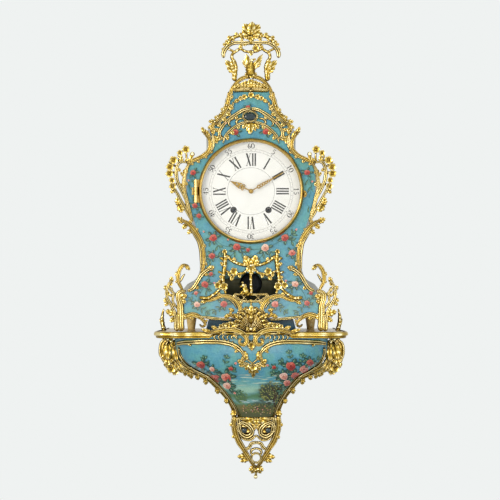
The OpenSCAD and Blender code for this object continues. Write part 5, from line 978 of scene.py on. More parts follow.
def bracket_rails(c):
    c.up = -0.6
    for c.side in (-1, 1):
        c.band([[80.5, -15], [80.3, -24], [76.5, -32], [70.5, -37.8], [61.5, -43], [52, -47], [45, -52],
                [37.5, -60], [31, -68], [25.5, -77], [21.6, -89]],
               [1.9, 2.1, 2.1, 2, 1.9, 1.8, 1.7, 1.5], 3.4, "channel")
        c.band([[73, -16], [72.6, -23], [69.6, -29.6], [64, -35.6], [55.6, -40.6], [46, -45.6], [38, -53.6],
                [31.6, -61.6], [25.8, -70.6], [21, -80], [18, -89]],
               [0.9, 1.5, 1.7, 1.7, 1.6, 1.5, 1.5, 1.4, 1.3, 1.2, 1], 3.4, "pair", 0.8)
        c.leaves((((80, -26), (83.6, -33)), ((74, -34.6), (76.6, -42)), ((66, -40.6), (66.6, -47.6)),
                  ((50, -48.6), (49, -55.6)), ((39, -58.4), (38, -65.6)), ((58, -44.6), (57, -50.6)),
                  ((30, -70), (29.6, -76)), ((47.6, -47), (43.4, -46.4)), ((36, -60), (31.6, -60.4))),
                 3.8, 2.2, 1)
        c.leaf([22.4, -82], [22.6, -92], 5, 2.6, 1.4)


def bracket_centre_mount(c):
    c.up = -0.6
    for c.side in (-1, 1):
        c.band([[7, -24], [3.6, -28], [0, -30.6]], [0.8, 0.9, 0.7], 1.8, "ridge")
        c.band([[12.5, -29], [7, -31.5], [0, -33.8]], [0.5, 1.4, 1.3], 2, "pair")
        c.band([[3.6, -27], [8, -27.6], [10.6, -30.4]], [0.4, 0.8, 0.5], 1.6, "ridge")
        c.leaves((((8, -31), (15, -27.6), 4, 1.7), ((7, -31.6), (13.5, -33.6), 3.2, 1.6),
                  ((3, -33), (7.4, -37.4), 2.8, 1.5), ((1, -36), (4, -40.6), 2.8, 1.6)), 0.6)
        c.flower([6.4, -32.4], 2.6, 0.8)
    c.side = 1
    c.flower([0.2, -34.4], 3.4, 1)
    c.leaf([0.2, -34, 1], [0.4, -45, 1.4], 3.6, 1.9)
    c.bead([0.4, -43.4], 1.1, 1.8)


def bracket_terminal(c):
    for c.side in (-1, 1):
        c.band([[22, 0], [23, -8], [21.6, -17], [18.4, -26], [13, -34.6], [7.8, -43], [3.6, -50], [1, -54]],
               [2.1, 2.1, 2.1, 2, 1.9, 1.8, 1.6, 1], 3.2, "channel")
        c.band([[17, -10, -1], [9, -12, -1], [0, -11, -1]], [4.6, 5, 4.4], 1.2, "reed", -0.6)
        c.band([[19, 0], [17.6, -9], [15.6, -17], [10, -20.6], [5, -18.4], [4.6, -13.6], [9, -8.6],
                [15, -6.4], [18.4, -10], [18, -15], [14, -16.6], [11.4, -14]],
               [1.5, 1.7, 1.9, 1.9, 1.8, 1.6, 1.3, 0.8], 3, "pair", 0.4)
        c.band([[20, -13], [17.4, -22], [12.8, -31], [8, -39]], [0.5, 0.8, 0.8, 0.4], 2.8, "ridge", 0.4)
        c.band([[-1, -27.2], [4.6, -28.4], [7.6, -33], [12.8, -35]], [1.1, 1.4, 1.3, 1.2], 2.4, "pair")
        c.band([[-1, -33.2], [4, -34.8], [5.4, -38], [3.6, -41]], [0.8, 1, 0.8], 1.8, "ridge")
        c.leaves((((15, -6), (2, -2), 8, 3), ((21.4, -7), (27.4, -9.6), 3.8, 2),
                  ((19.6, -18), (24.4, -22.6), 3.4, 2), ((8.4, -41.6), (19.6, -42), 4.4, 2.2),
                  ((7, -44), (16.6, -47), 3.8, 2), ((1, -53), (7.6, -56.4), 4, 2.2),
                  ((0.6, -54), (4.4, -60), 3.4, 2), ((15, -17), (9, -12), 3.4, 2.4),
                  ((21, -3), (25, -1.4), 3, 1.8)))
    c.side = 1
    c.band(oval(0, -43.6, 5, 5), 0.9, 2.2, "pair", loop=True)
    c.leaf([0, 0], [0, -9], 6.4, 3)
    c.band([[-20, -2], [0, -2.6], [20, -2]], 1.5, 2.6, "reed")
    c.band([[-17.8, -17.4], [-13, -23], [-6, -24.4], [0, -20.4], [6, -24.4], [13, -23], [17.8, -17.4]],
           [0.8, 1.3, 1.2, 0.9, 1.2, 1.3, 0.8], 2, "pair")
    c.twig([[0, -53], [0, -58], [-0.6, -63]], [1.6, 0.8, 1.1])
    c.bead([-0.6, -64.2], 2.1)
    c.flower([0, -54], 2.6, 1.2)


# Bracket shelf, its moulded rim, and the carved console body
SHELF_HALF = [(0.9, 0), (0.93, 0.3), (0.985, 0.7), (0.975, 0.86), (0.9, 0.93), (0.7, 0.945), (0.45, 0.92),
              (0.2, 0.95), (0, 0.97)]
RIM_PROFILE = [(0.2, -13.8), (3.4, -13.4), (4.2, -10), (4.6, -8.6), (8.8, -7.4), (9, -3.6), (7.4, -0.2),
               (3.6, 1.6), (0.2, 1.9)]


def shelf_rim(c):
    """Gadrooned moulding round the shelf, then the crests at the middle of its front."""
    half = smooth(SHELF_HALF, 14)
    wide = (shelf_high.x - shelf_low.x) / 2
    path = np.vstack([half * [wide, -SHELF_DEEP], (half * [-wide, -SHELF_DEEP])[-2::-1]])
    length = np.concatenate([[0], np.cumsum(np.linalg.norm(np.diff(path, axis=0), axis=1))])
    at = np.linspace(0, length[-1], 560)
    path = np.stack([np.interp(at, length, path[:, 0]), np.interp(at, length, path[:, 1])], axis=1)
    t = np.gradient(path, axis=0)
    t /= np.linalg.norm(t, axis=1, keepdims=True)
    out = np.stack([-t[:, 1], t[:, 0]], axis=1)
    out[0], out[-1] = (1, 0), (-1, 0)
    cut = smooth(RIM_PROFILE, 5) * MM
    swell = 0.75 + 0.25 * np.sin(math.pi * at / (17 * MM)) * np.sin(at / (41 * MM))
    belly = np.clip(cut[:, 0] / (9 * MM), 0, 1)
    reach = cut[None, :, 0] * (1 - 0.16 * (1 - swell[:, None]) * belly[None, :])
    open_middle = np.interp(np.abs(path[:, 0]), [86 * MM, 98 * MM], [1, 0]) * (path[:, 1] < -0.5 * SHELF_DEEP)
    foot = np.where(cut[None, :, 1] < -5.4 * MM, cut[None, :, 1] * (1 - 0.58 * open_middle[:, None]),
                    cut[None, :, 1])
    rings = np.stack([path[:, 0:1] + out[:, 0:1] * reach,
                      np.minimum(path[:, 1:2] + out[:, 1:2] * reach, -0.2 * MM), SHELF_TOP + foot], axis=2)
    # hollows of the moulding darker and swelling crests paler: patina and burnish, with painted shade and
    # painted highlight
    worn_and_shaded = np.clip(0.15 + 0.85 * swell[:, None] * belly[None, :] ** 0.7, 0, 1)
    c.tube(rings[::-1], worn_and_shaded[::-1])
    shelf_crest(c)
    for c.side in (-1, 1):
        for x in (13, 17.4, 21.8, 26.2, 30.6, 35):
            c.band([[x, -2.2], [x + 2, -3.6], [x + 2, -5], [x + 0.6, -6.6]],
                   [0.5, 0.75, 0.4], 1.4, "ridge", 0.2)


def valley(x, z):
    """Colour and cover of the painted valley at x, z in squares of the console, on arrays."""
    ripple = (np.sin(0.9 * x + 1.3 * np.sin(0.7 * z)) + np.sin(1.7 * z + 0.8 * x + 1.9)
              + np.sin(0.37 * x - 1.1 * z)) / 3
    fine = np.sin(2.3 * x + 1.7 * np.sin(1.9 * z)) * np.sin(2.9 * z + 1.2 * np.sin(1.3 * x))
    tone = np.tile(np.array(colour("#6FAEB0")[:3]), (len(x), 1))
    far = np.hypot((x - 17) / 13, (z + 63) / 13) + 0.22 * ripple + 0.08 * fine
    near = np.hypot((x + 15) / 7, (z + 68) / 7) + 0.2 * ripple
    low = np.hypot((x - 6) / 15, (z + 77) / 7) + 0.2 * ripple
    # from the back forwards: haze, hills, wood, water, bank and grass, then the clumps of trees
    for code, share in (("#9CC6B0", np.exp(-((z + 60 + ripple) / 5) ** 2) * 0.9),
                        ("#5C8F8A", 1 / (1 + np.exp((z + 61.5 - 1.8 * np.sin(x / 5.5) - ripple) * 2))),
                        ("#4C7A52", 1 / (1 + np.exp((z + 65.5 - 1.4 * np.sin(x / 4 + 1) - ripple) * 2))),
                        ("#7FB4BC", np.exp(-((z + 72 + 0.7 * ripple) / 2.6) ** 2) * (0.75 + 0.25 * fine)),
                        ("#6C6838", 1 / (1 + np.exp((z + 77 - 1.2 * np.sin(x / 3) - ripple) * 1.6))),
                        ("#3C4526", 1 / (1 + np.exp((z + 82 - ripple * 2) * 1.2)) * 0.8),
                        ("#333B22", np.clip((1.15 - far) * 3.4, 0, 1) * 0.95),
                        ("#2A2F1C", np.clip((0.85 - far) * 3, 0, 1) * (0.65 + 0.35 * fine)),
                        ("#4A6A44", np.clip((1 - near) * 3, 0, 1) * 0.9),
                        ("#333A22", np.clip((1 - low) * 2.4, 0, 1) * (0.7 + 0.3 * fine))):
        share = np.clip(share, 0, 1)[:, None]
        tone = tone * (1 - share) + np.array(colour(code)[:3])[None, :] * share
    cover = np.clip((-47 - z + 2.5 * ripple) / 9, 0, 1)
    return tone, cover * cover * (3 - 2 * cover)


def console_body():
    rows, around = 170, 180
    z = np.linspace(CONSOLE_TOP, -CONSOLE_HIGH, rows)
    a = np.linspace(0, math.pi, around)
    points, faces = [], []
    for h in z:
        w, d, e = console_half(h), console_depth(h) - BACK_BOARD, 2 / SQUARENESS
        x = tail_set(h) + w * np.sign(np.cos(a)) * np.abs(np.cos(a)) ** e
        y = -BACK_BOARD - d * np.abs(np.sin(a)) ** e
        points.append(np.stack([x, y, np.full(around, SHELF_TOP + h)], axis=1))
    for i in range(rows - 1):
        faces += [(i * around + k, i * around + k + 1, (i + 1) * around + k + 1, (i + 1) * around + k)
                  for k in range(around - 1)]
        faces.append((i * around + around - 1, i * around, (i + 1) * around, (i + 1) * around + around - 1))
    faces += [tuple(range(around - 1, -1, -1)), tuple((rows - 1) * around + k for k in range(around))]
    spots = np.concatenate(points)
    drop = spots[:, 2] - SHELF_TOP
    tone, cover = valley((spots[:, 0] - tail_set(drop)) / CONSOLE_SQUARE[0], drop / CONSOLE_SQUARE[1])
    cover = cover * (spots[:, 1] < -0.3 * CONSOLE_DEEP * np.interp(drop, [-CONSOLE_HIGH, 0], [0.41, 1]))
    tones = np.hstack([tone, np.ones((len(tone), 1))])
    mesh = new_mesh("console_body", spots, [f[::-1] for f in faces], tones, cover=cover)
    return finish_piece(mesh, "bracket_body", "painted_lacquer", "painted_lacquer", ["bracket_body"])


# Painted flowers and landscape, in dabs of colour laid on the lacquer
class Painting:
    """Dabs on a seat. Points are in squares; each dab lies a little over the one before."""

    def __init__(self, seat, seed, inside, base=0.05):
        self.seat, self.random, self.layer, self.inside = seat, random.Random(seed), base, inside
        self.verts, self.faces, self.tones, self.count = [], [], [], 0

    def dab(self, c, rx, rz, turn, inner, outer, wobble=0.12, point=0.0, rings=3, parts=12):
        """A rounded dab: inner colour in the middle, outer at its edge. point draws it to a tip."""
        reach = max(rx, rz)
        ends = (0, 0), (1, 0), (-1, 0), (0, 1), (0, -1)
        if not all(self.inside(c[0] + u * reach, c[1] + v * reach) for u, v in ends):
            return
        a = np.linspace(0, 2 * math.pi, parts, endpoint=False)
        edge = 1 + wobble * np.array([self.random.uniform(-1, 1) for _ in a])
        ca, sa = math.cos(turn), math.sin(turn)
        self.layer += DAB_LIFT
        pts, tones = [(c[0], c[1])], [inner]
        for k in range(1, rings + 1):
            t = k / rings
            for q, e in zip(a, edge):
                u, v = math.cos(q) * rx * t * e, math.sin(q) * rz * t * e
                v *= 1 - point * abs(math.cos(q)) ** 3
                pts.append((c[0] + u * ca - v * sa, c[1] + u * sa + v * ca))
                s = t ** 1.5
                tones.append(tuple(i * (1 - s) + o * s for i, o in zip(inner, outer)))
        base = self.count
        for p, tone in zip(pts, tones):
            self.verts.append(self.seat.place(p, 1, self.layer))
            self.tones.append(tone)
        self.count += len(pts)
        for k in range(parts):
            n = (k + 1) % parts
            self.faces.append((base, base + 1 + n, base + 1 + k))
            for r in range(rings - 1):
                i = base + 1 + r * parts
                self.faces.append((i + k, i + n, i + parts + n, i + parts + k))

    def near(self, code, spread=0.12):
        """A colour mixed by hand: near code, never twice the same."""
        k = 1 + self.random.uniform(-spread, spread)
        return tuple(min(1, v * k * (1 + self.random.uniform(-spread, spread) * 0.5))
                     for v in colour(code)[:3]) + (1.0,)

    def stem(self, points, w=0.35, code="#2A5B4C"):
        line = smooth(points, 6)
        for a, b in zip(line[:-1], line[1:]):
            mid, step = (a + b) / 2, b - a
            self.dab(mid, np.linalg.norm(step) * 0.75, w, math.atan2(step[1], step[0]), self.near(code),
                     self.near(code), 0.1, 0, 1, 8)

    def leaf(self, root, tip, w, dark="#14352E", light="#4F8A66"):
        root, tip = np.array(root, float), np.array(tip, float)
        step = tip - root
        turn = math.atan2(step[1], step[0])
        mid, half = (root + tip) / 2, np.linalg.norm(step) / 2
        self.dab(mid, half, w / 2, turn, self.near(light, 0.2), self.near(dark, 0.2), 0.06, 0.75, 3, 14)
        across = np.array([-step[1], step[0]]) / max(np.linalg.norm(step), 1e-6) * w * 0.17
        self.dab(mid + across, half * 0.7, w * 0.12, turn,
                 self.near("#A9CBA0"), self.near(light), 0.1, 0.6, 2, 8)
        self.dab(mid, half * 0.85, w * 0.045, turn, self.near(dark), self.near(dark), 0.05, 0.5, 1, 8)

    def spray(self, root, tip, w=2.2, pairs=2, dark="#14352E", light="#4A8468"):
        root, tip = np.array(root, float), np.array(tip, float)
        step = tip - root
        side = np.array([-step[1], step[0]])
        self.stem([root, (root + tip) / 2 + side * 0.06, tip], 0.22)
        for k in range(pairs):
            at = root + step * (0.25 + 0.5 * k / max(pairs - 1, 1))
            for s in (-1, 1):
                self.leaf(at, at + step * 0.34 + side * 0.36 * s, w * 0.8, dark, light)
        self.leaf(tip - step * 0.12, tip + step * 0.25, w, dark, light)

    def rose(self, c, r, dark="#7E1E1A", mid="#C44A3C", light="#F0B8A4"):
        """A full-blown rose: outer petals, turned-over rims, a cupped middle and a dark heart."""
        for k in range(5):
            a = k * 1.26 + self.random.uniform(-0.4, 0.4)
            tip = (c[0] + math.cos(a) * r * 2.1, c[1] + math.sin(a) * r * 1.85)
            root = (c[0] + math.cos(a) * r * 0.6, c[1] + math.sin(a) * r * 0.6)
            self.leaf(root, tip, r * 0.78, "#0F2A26", "#2F6450")
        for k in range(7):
            a = k * 0.9 + self.random.uniform(-0.25, 0.25)
            lit = max(0.0, 0.5 + 0.6 * math.cos(a - 2.3)) * self.random.uniform(0.6, 1.1)
            out = tuple(m * (1 - min(lit, 1)) + p * min(lit, 1)
                        for m, p in zip(self.near(mid), self.near(light, 0.08)))
            far = self.random.uniform(0.46, 0.62)
            self.dab((c[0] + math.cos(a) * r * far, c[1] + math.sin(a) * r * far * 0.86), r * 0.5, r * 0.36,
                     a + 1.57, self.near(dark if lit < 0.3 else mid), out, 0.26)
        self.dab(c, r * 0.55, r * 0.5, 0, self.near(dark), self.near(mid), 0.15)
        for k in range(4):
            a = 0.9 + k * 0.75 + self.random.uniform(-0.2, 0.2)
            q = (c[0] + math.cos(a) * r * 0.36, c[1] + math.sin(a) * r * 0.33)
            self.dab(q, r * 0.3, r * 0.09, a + 1.57, self.near(light, 0.1), self.near(mid), 0.2, 0.3, 2, 10)
        self.dab((c[0] + r * 0.08, c[1] - r * 0.12), r * 0.3, r * 0.17, 0.3,
                 self.near(dark), self.near(mid), 0.2)

    def bud(self, c, r, turn, code="#C9534A"):
        self.dab(c, r, r * 0.62, turn, self.near(code), self.near("#EDB3A2"), 0.08, 0.4)
        self.dab((c[0] - math.cos(turn) * r * 0.7, c[1] - math.sin(turn) * r * 0.7), r * 0.5, r * 0.42, turn,
                 self.near("#3C6B50"), self.near("#1F4A3E"), 0.1, 0.3)

    def finish(self, name, node):
        mesh = new_mesh(name, self.verts, self.faces, self.tones)
        return finish_piece(mesh, node, "painted_lacquer", "paint")


# Heart, petals and lit rims of the red, pink and pale roses
ROSES = (("#5E100E", "#B02A20", "#E08A74"), ("#8A2A22", "#C85A48", "#F2C0AC"),
         ("#A8503E", "#E0A48E", "#FAE6D8"))


def case_bouquets():
    """Rose sprays on the front board: two over the waist, one on each shoulder, small ones on the crown."""
    board = NODES["case_front_board"]
    turned = board.matrix_world.inverted()

    def inside(x, z):
        at = Vector(ON_CASE.place((x, z), 1, 0))
        start, ahead = turned @ Vector((at.x, FRONT - 0.02, at.z)), turned.to_3x3() @ Vector((0, 1, 0))
        hit, place = board.ray_cast(start, ahead)[:2]
        return hit and abs((board.matrix_world @ place).y - FRONT) < 2 * MM

    p = Painting(ON_CASE, 11, inside)
    red, pink, pale = ROSES
    for a, b, w in (((-16, 193), (-25, 182), 2.6), ((15, 193), (25, 183), 2.6), ((-19, 204), (-27, 210), 2.2),
                    ((19, 204), (28, 210), 2.2), ((-58, 156), (-63, 144), 2.4), ((-56, 128), (-64, 136), 2.4),
                    ((-52, 114), (-60, 104), 2.6), ((56, 156), (61, 142), 2.4), ((56, 127), (63, 118), 2.2),
                    ((-38, 92), (-48, 86), 3), ((-35, 89), (-29, 78), 3), ((-14, 83), (-23, 74), 2.8),
                    ((-11, 82), (-1, 73), 2.8), ((14, 82), (6, 71), 2.8), ((17, 82), (26, 73), 2.8),
                    ((34, 91), (43, 99), 2.8), ((37, 92), (49, 88), 2.8), ((41, 77), (51, 70), 2.6),
                    ((-39, 74), (-47, 66), 2.6), ((-46, 46), (-55, 52), 2.4), ((-46, 44), (-39, 35), 2.6),
                    ((-54, 26), (-61, 33), 2.2), ((-52, 25), (-43, 19), 2.4), ((-27, 26), (-18, 34), 2.6),
                    ((-29, 26), (-37, 20), 2.4), ((24, 26), (15, 33), 2.6), ((27, 26), (35, 20), 2.4),
                    ((56, 27), (63, 35), 2.2), ((53, 26), (45, 19), 2.4), ((44, 46), (52, 53), 2.4),
                    ((43, 45), (35, 38), 2.4), ((-3, 220), (-11, 214), 2), ((-1, 220), (7, 214), 2)):
        p.spray(a, b, w)
    for points in (((-38, 94), (-27, 86), (-14, 85), (-1, 82), (14, 84), (26, 89), (35, 94)),
                   ((-58, 159), (-62, 148), (-60, 136), (-56, 126), (-53, 116)),
                   ((56, 159), (61, 148), (58, 134)), ((-46, 47), (-51, 38), (-54, 28)),
                   ((-39, 57), (-45, 51), (-47, 47)), ((44, 48), (52, 40), (56, 29))):
        p.stem(points, 0.24)
    for at, r, tones in (((-16, 199.5), 3.6, red), ((15, 200), 3.6, red), ((-58, 159), 3.2, red),
                         ((-56, 126), 3, red), ((-52, 116), 2.6, red), ((56, 159), 3.2, red),
                         ((-38, 94), 4, red), ((-14, 85), 4.2, red), ((14, 84), 4.2, pale),
                         ((-3, 82), 2.2, red), ((34, 94), 4, red), ((41, 79), 3.6, pink),
                         ((-39, 76), 3.4, red), ((-46, 47.5), 3.8, red), ((-40, 58), 2.2, red),
                         ((-55, 39), 2.2, pink), ((-54, 27.5), 3.4, pale), ((-27, 28), 3.8, red),
                         ((24, 28), 3.8, pink), ((56, 29), 3.2, red), ((44, 48), 3.6, pale),
                         ((60, 39), 2.2, red), ((-3, 224), 2.4, red)):
        p.rose(at, r, *tones)
    for x, z, turn in ((-25, 208, 2.2), (25, 208, 0.9), (-62, 151, 2.4), (61, 150, 0.6), (-47, 100, 2.5),
                       (45, 102, 0.8), (-23, 92, 1.4), (21, 92, 1.6), (-53, 68, 3.6), (53, 73, -0.3),
                       (-37, 49, 0.4), (35, 51, 2.6), (-19, 36, 1.0), (15, 35, 2.0), (-61, 44, 2.2),
                       (-5, 72, 4.6), (5, 90, 1.2)):
        p.bud((x, z), 1.5, turn)
    return p.finish("painted_roses_case", "case_front_board")


def console_painting():
    """Bouquets at both sides of the console and a small wooded valley of no real place under them."""
    def inside(x, z):
        drop = z * CONSOLE_SQUARE[1]
        beside = abs(x * CONSOLE_SQUARE[0])
        return -CONSOLE_HIGH < drop < -PAINT_DROP and beside < console_half(drop) - PAINT_MARGIN

    p = Painting(ON_CONSOLE, 23, inside, 0.12)
    draw = p.random
    # over the painted ground, from the back forwards: cloud streaks, foliage, bank grass and its flowers
    for k in range(26):
        x, z = draw.uniform(-24, 26), draw.uniform(-58, -43)
        p.dab((x, z), draw.uniform(3, 6.5), draw.uniform(0.25, 0.6), draw.uniform(-0.08, 0.08),
              p.near(draw.choice(["#C9D6B8", "#D9CFA8", "#9FC4B8"])), p.near("#7FB0AE"), 0.25)
    for cx, cz, rx, rz, count, tones in (
            (17, -62, 13, 12, 150, ["#6E7A3C", "#86904E", "#4C5C30", "#A3A25E"]),
            (-15, -67, 7, 7, 60, ["#5E8450", "#7C9A5C", "#45663E"]),
            (4, -80, 20, 5, 80, ["#7C7A40", "#5A6434", "#94874C"])):
        for k in range(count):
            a, q = draw.uniform(0, 6.28), math.sqrt(draw.random())
            p.dab((cx + rx * q * math.cos(a), cz + rz * q * math.sin(a)),
                  draw.uniform(0.5, 1.3), draw.uniform(0.25, 0.6), draw.uniform(0, 3),
                  p.near(draw.choice(tones), 0.2), p.near(draw.choice(tones), 0.3), 0.3, 0.3, 2, 8)
    p.stem([(20, -80), (18.6, -72), (20, -64), (17, -57)], 0.7, "#3A2A18")
    p.stem([(19, -70), (23, -64), (25, -58)], 0.45, "#4A3820")
    for k in range(16):
        x = draw.uniform(-15, 18)
        p.dab((x, -72 + draw.uniform(-1.6, 1.6)), draw.uniform(1.6, 3.4), 0.22, 0, p.near("#D4E4DC"),
              p.near("#8FBEC2"), 0.2)
    for k in range(22):
        p.bud((draw.uniform(-13, 15), draw.uniform(-86, -77)), draw.uniform(0.5, 0.9), draw.uniform(0, 6),
              draw.choice(["#C9402C", "#E8D9B0", "#C98A4A"]))
    for a, b, w in (((-39, -51), (-51, -57), 3), ((-46, -41), (-59, -44), 3.2), ((-45, -35), (-48, -25), 2.8),
                    ((-29, -43), (-19, -37), 3), ((-27, -57), (-17, -63), 3), ((-37, -55), (-39, -67), 3),
                    ((-55, -49), (-64, -54), 2.6), ((-28, -33), (-25, -24), 2.6), ((38, -35), (28, -29), 3),
                    ((49, -33), (51, -23), 3), ((58, -33), (68, -28), 3), ((55, -43), (65, -49), 3),
                    ((42, -49), (48, -61), 3), ((33, -54), (25, -63), 3), ((30, -45), (19, -41), 3),
                    ((39, -28), (37, -19), 2.6)):
        p.spray(a, b, w)
    red, pink, pale = ROSES
    for points in (((-52, -33), (-45, -41), (-37, -49), (-35, -61)), ((-22, -37), (-27, -45), (-35, -51)),
                   ((38, -34), (42, -45), (37, -57)), ((58, -31), (51, -39), (43, -47)),
                   ((21, -35), (29, -43), (39, -49))):
        p.stem(points, 0.3)
    for at, r, tones in (((-52, -33), 4.6, red), ((-39, -48), 5.6, red), ((-28, -46), 5.4, pink),
                         ((-28, -55.6), 4.6, pale), ((-56, -48), 2.4, red), ((-22, -36.5), 2.4, red),
                         ((-41, -37), 3, pale), ((38, -34), 5.2, red), ((51, -38), 5, pink),
                         ((58, -31), 4, red), ((30, -45), 4.6, pale), ((42, -45), 4.8, red),
                         ((33, -52.6), 4, pink), ((21, -35), 2.2, red)):
        p.rose(at, r, *tones)
    for x, z, turn in ((-63, -39, 2.8), (-17, -31, 0.9), (-47, -57, 3.8), (15, -33, 2.4), (67, -35, 0.2),
                       (49, -52, -0.8), (-21, -63, -0.6)):
        p.bud((x, z), 1.9, turn)
    return p.finish("painted_console", "bracket_body")


BOX_FACES = (0, 1, 3, 2), (4, 6, 7, 5), (0, 4, 5, 1), (2, 3, 7, 6), (0, 2, 6, 4), (1, 5, 7, 3)


def door_rebate():
    """Thin oak strips inside the back frame that the door closes against, so that no light shows round it."""
    low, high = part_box("back_door")
    frame_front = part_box("case_back_frame")[0].y
    y = (min(low.y, frame_front) - 2.4 * MM, min(low.y, frame_front) - 0.2 * MM)
    points, faces = [], []
    half = (high.x - low.x) / 2
    for x0, x1, z0, z1 in ((-half - 6 * MM, half + 6 * MM, low.z - 8 * MM, low.z + 6 * MM),
                           (-half - 6 * MM, -half + 5 * MM, low.z + 6.2 * MM, high.z - half),
                           (half - 5 * MM, half + 6 * MM, low.z + 6.2 * MM, high.z - half)):
        base = len(points)
        points += [(x, yy, z) for x in (x0, x1) for yy in y for z in (z0, z1)]
        faces += [tuple(base + k for k in f) for f in BOX_FACES]
    return finish_piece(new_mesh("door_rebate", points, faces), "case_back_frame", "bare_oak", "frame_oak")


def terminal_stones():
    """Two dark stones set in the eyes of the terminal scrolls; their dark also stands in for the shade seen
    through those openings.
    """
    c = Casting(ON_TERMINAL, full=1)
    for c.side in (-1, 1):
        c.bead([12.2, -14.2], 3, 3.6, 0.7)
    mesh = new_mesh("terminal_stones", np.concatenate(c.verts), c.faces)
    return finish_piece(mesh, "bracket_terminal", "dark_lacquer", "stone")


# Dial figures and tracks, in millimetres from the dial centre
NUMERAL_BAND = 61, 91
TRACKS = ((56.6, 0.28), (95.6, 0.22), (101.2, 0.22))
DOT_RADIUS, HOUR_DOT, MINUTE_DOT = 98.4, 1.15, 0.62
FIGURE_FOOT, FIGURE_SIZE = 102.6, 7.8
WINDING_X, WINDING_DROP, COLLET_RADIUS, COLLET_HALF = 42, 45, 5.6, 2.2
ROMAN = ["XII", "I", "II", "III", "IIII", "V", "VI", "VII", "VIII", "IX", "X", "XI"]
# Strokes of old-style figures in a box one wide and 1.6 high: points, then half widths along the stroke
FIGURES = {
    "0": [([(0.5, 1.55), (0.12, 1.2), (0.1, 0.4), (0.5, 0.05), (0.9, 0.4), (0.88, 1.2), (0.5, 1.55)],
           (0.05, 0.16, 0.05, 0.16, 0.05))],
    "1": [([(0.22, 1.2), (0.5, 1.5), (0.5, 0.06)], (0.04, 0.13, 0.13)),
          ([(0.2, 0.05), (0.8, 0.05)], (0.05, 0.05))],
    "2": [([(0.14, 1.1), (0.3, 1.48), (0.7, 1.45), (0.84, 1.1), (0.5, 0.62), (0.12, 0.14)],
           (0.12, 0.06, 0.12, 0.15, 0.07, 0.06)),
          ([(0.1, 0.12), (0.45, 0.16), (0.9, 0.1)], (0.06, 0.13, 0.05))],
    "3": [([(0.16, 1.3), (0.5, 1.52), (0.82, 1.2), (0.45, 0.86)], (0.1, 0.06, 0.14, 0.05)),
          ([(0.45, 0.86), (0.88, 0.5), (0.5, 0.06), (0.12, 0.26)], (0.05, 0.15, 0.06, 0.12))],
    "4": [([(0.66, 0.04), (0.66, 1.5)], (0.13, 0.13)),
          ([(0.66, 1.5), (0.08, 0.5), (0.94, 0.5)], (0.05, 0.05, 0.05))],
    "5": [([(0.26, 1.48), (0.84, 1.5)], (0.1, 0.09)),
          ([(0.26, 1.48), (0.24, 0.9), (0.7, 0.9), (0.84, 0.45), (0.5, 0.05), (0.14, 0.26)],
           (0.05, 0.04, 0.08, 0.15, 0.06, 0.12))],
    "6": [([(0.8, 1.4), (0.4, 1.3), (0.14, 0.6), (0.5, 0.05), (0.86, 0.42), (0.5, 0.82), (0.18, 0.5)],
           (0.1, 0.06, 0.16, 0.06, 0.14, 0.06, 0.05))],
}


def bearing(degrees):
    """Directions outwards and sideways, at an angle clockwise from the top of the dial."""
    a = math.radians(degrees)
    return np.array([math.sin(a), math.cos(a)]), np.array([math.cos(a), -math.sin(a)])


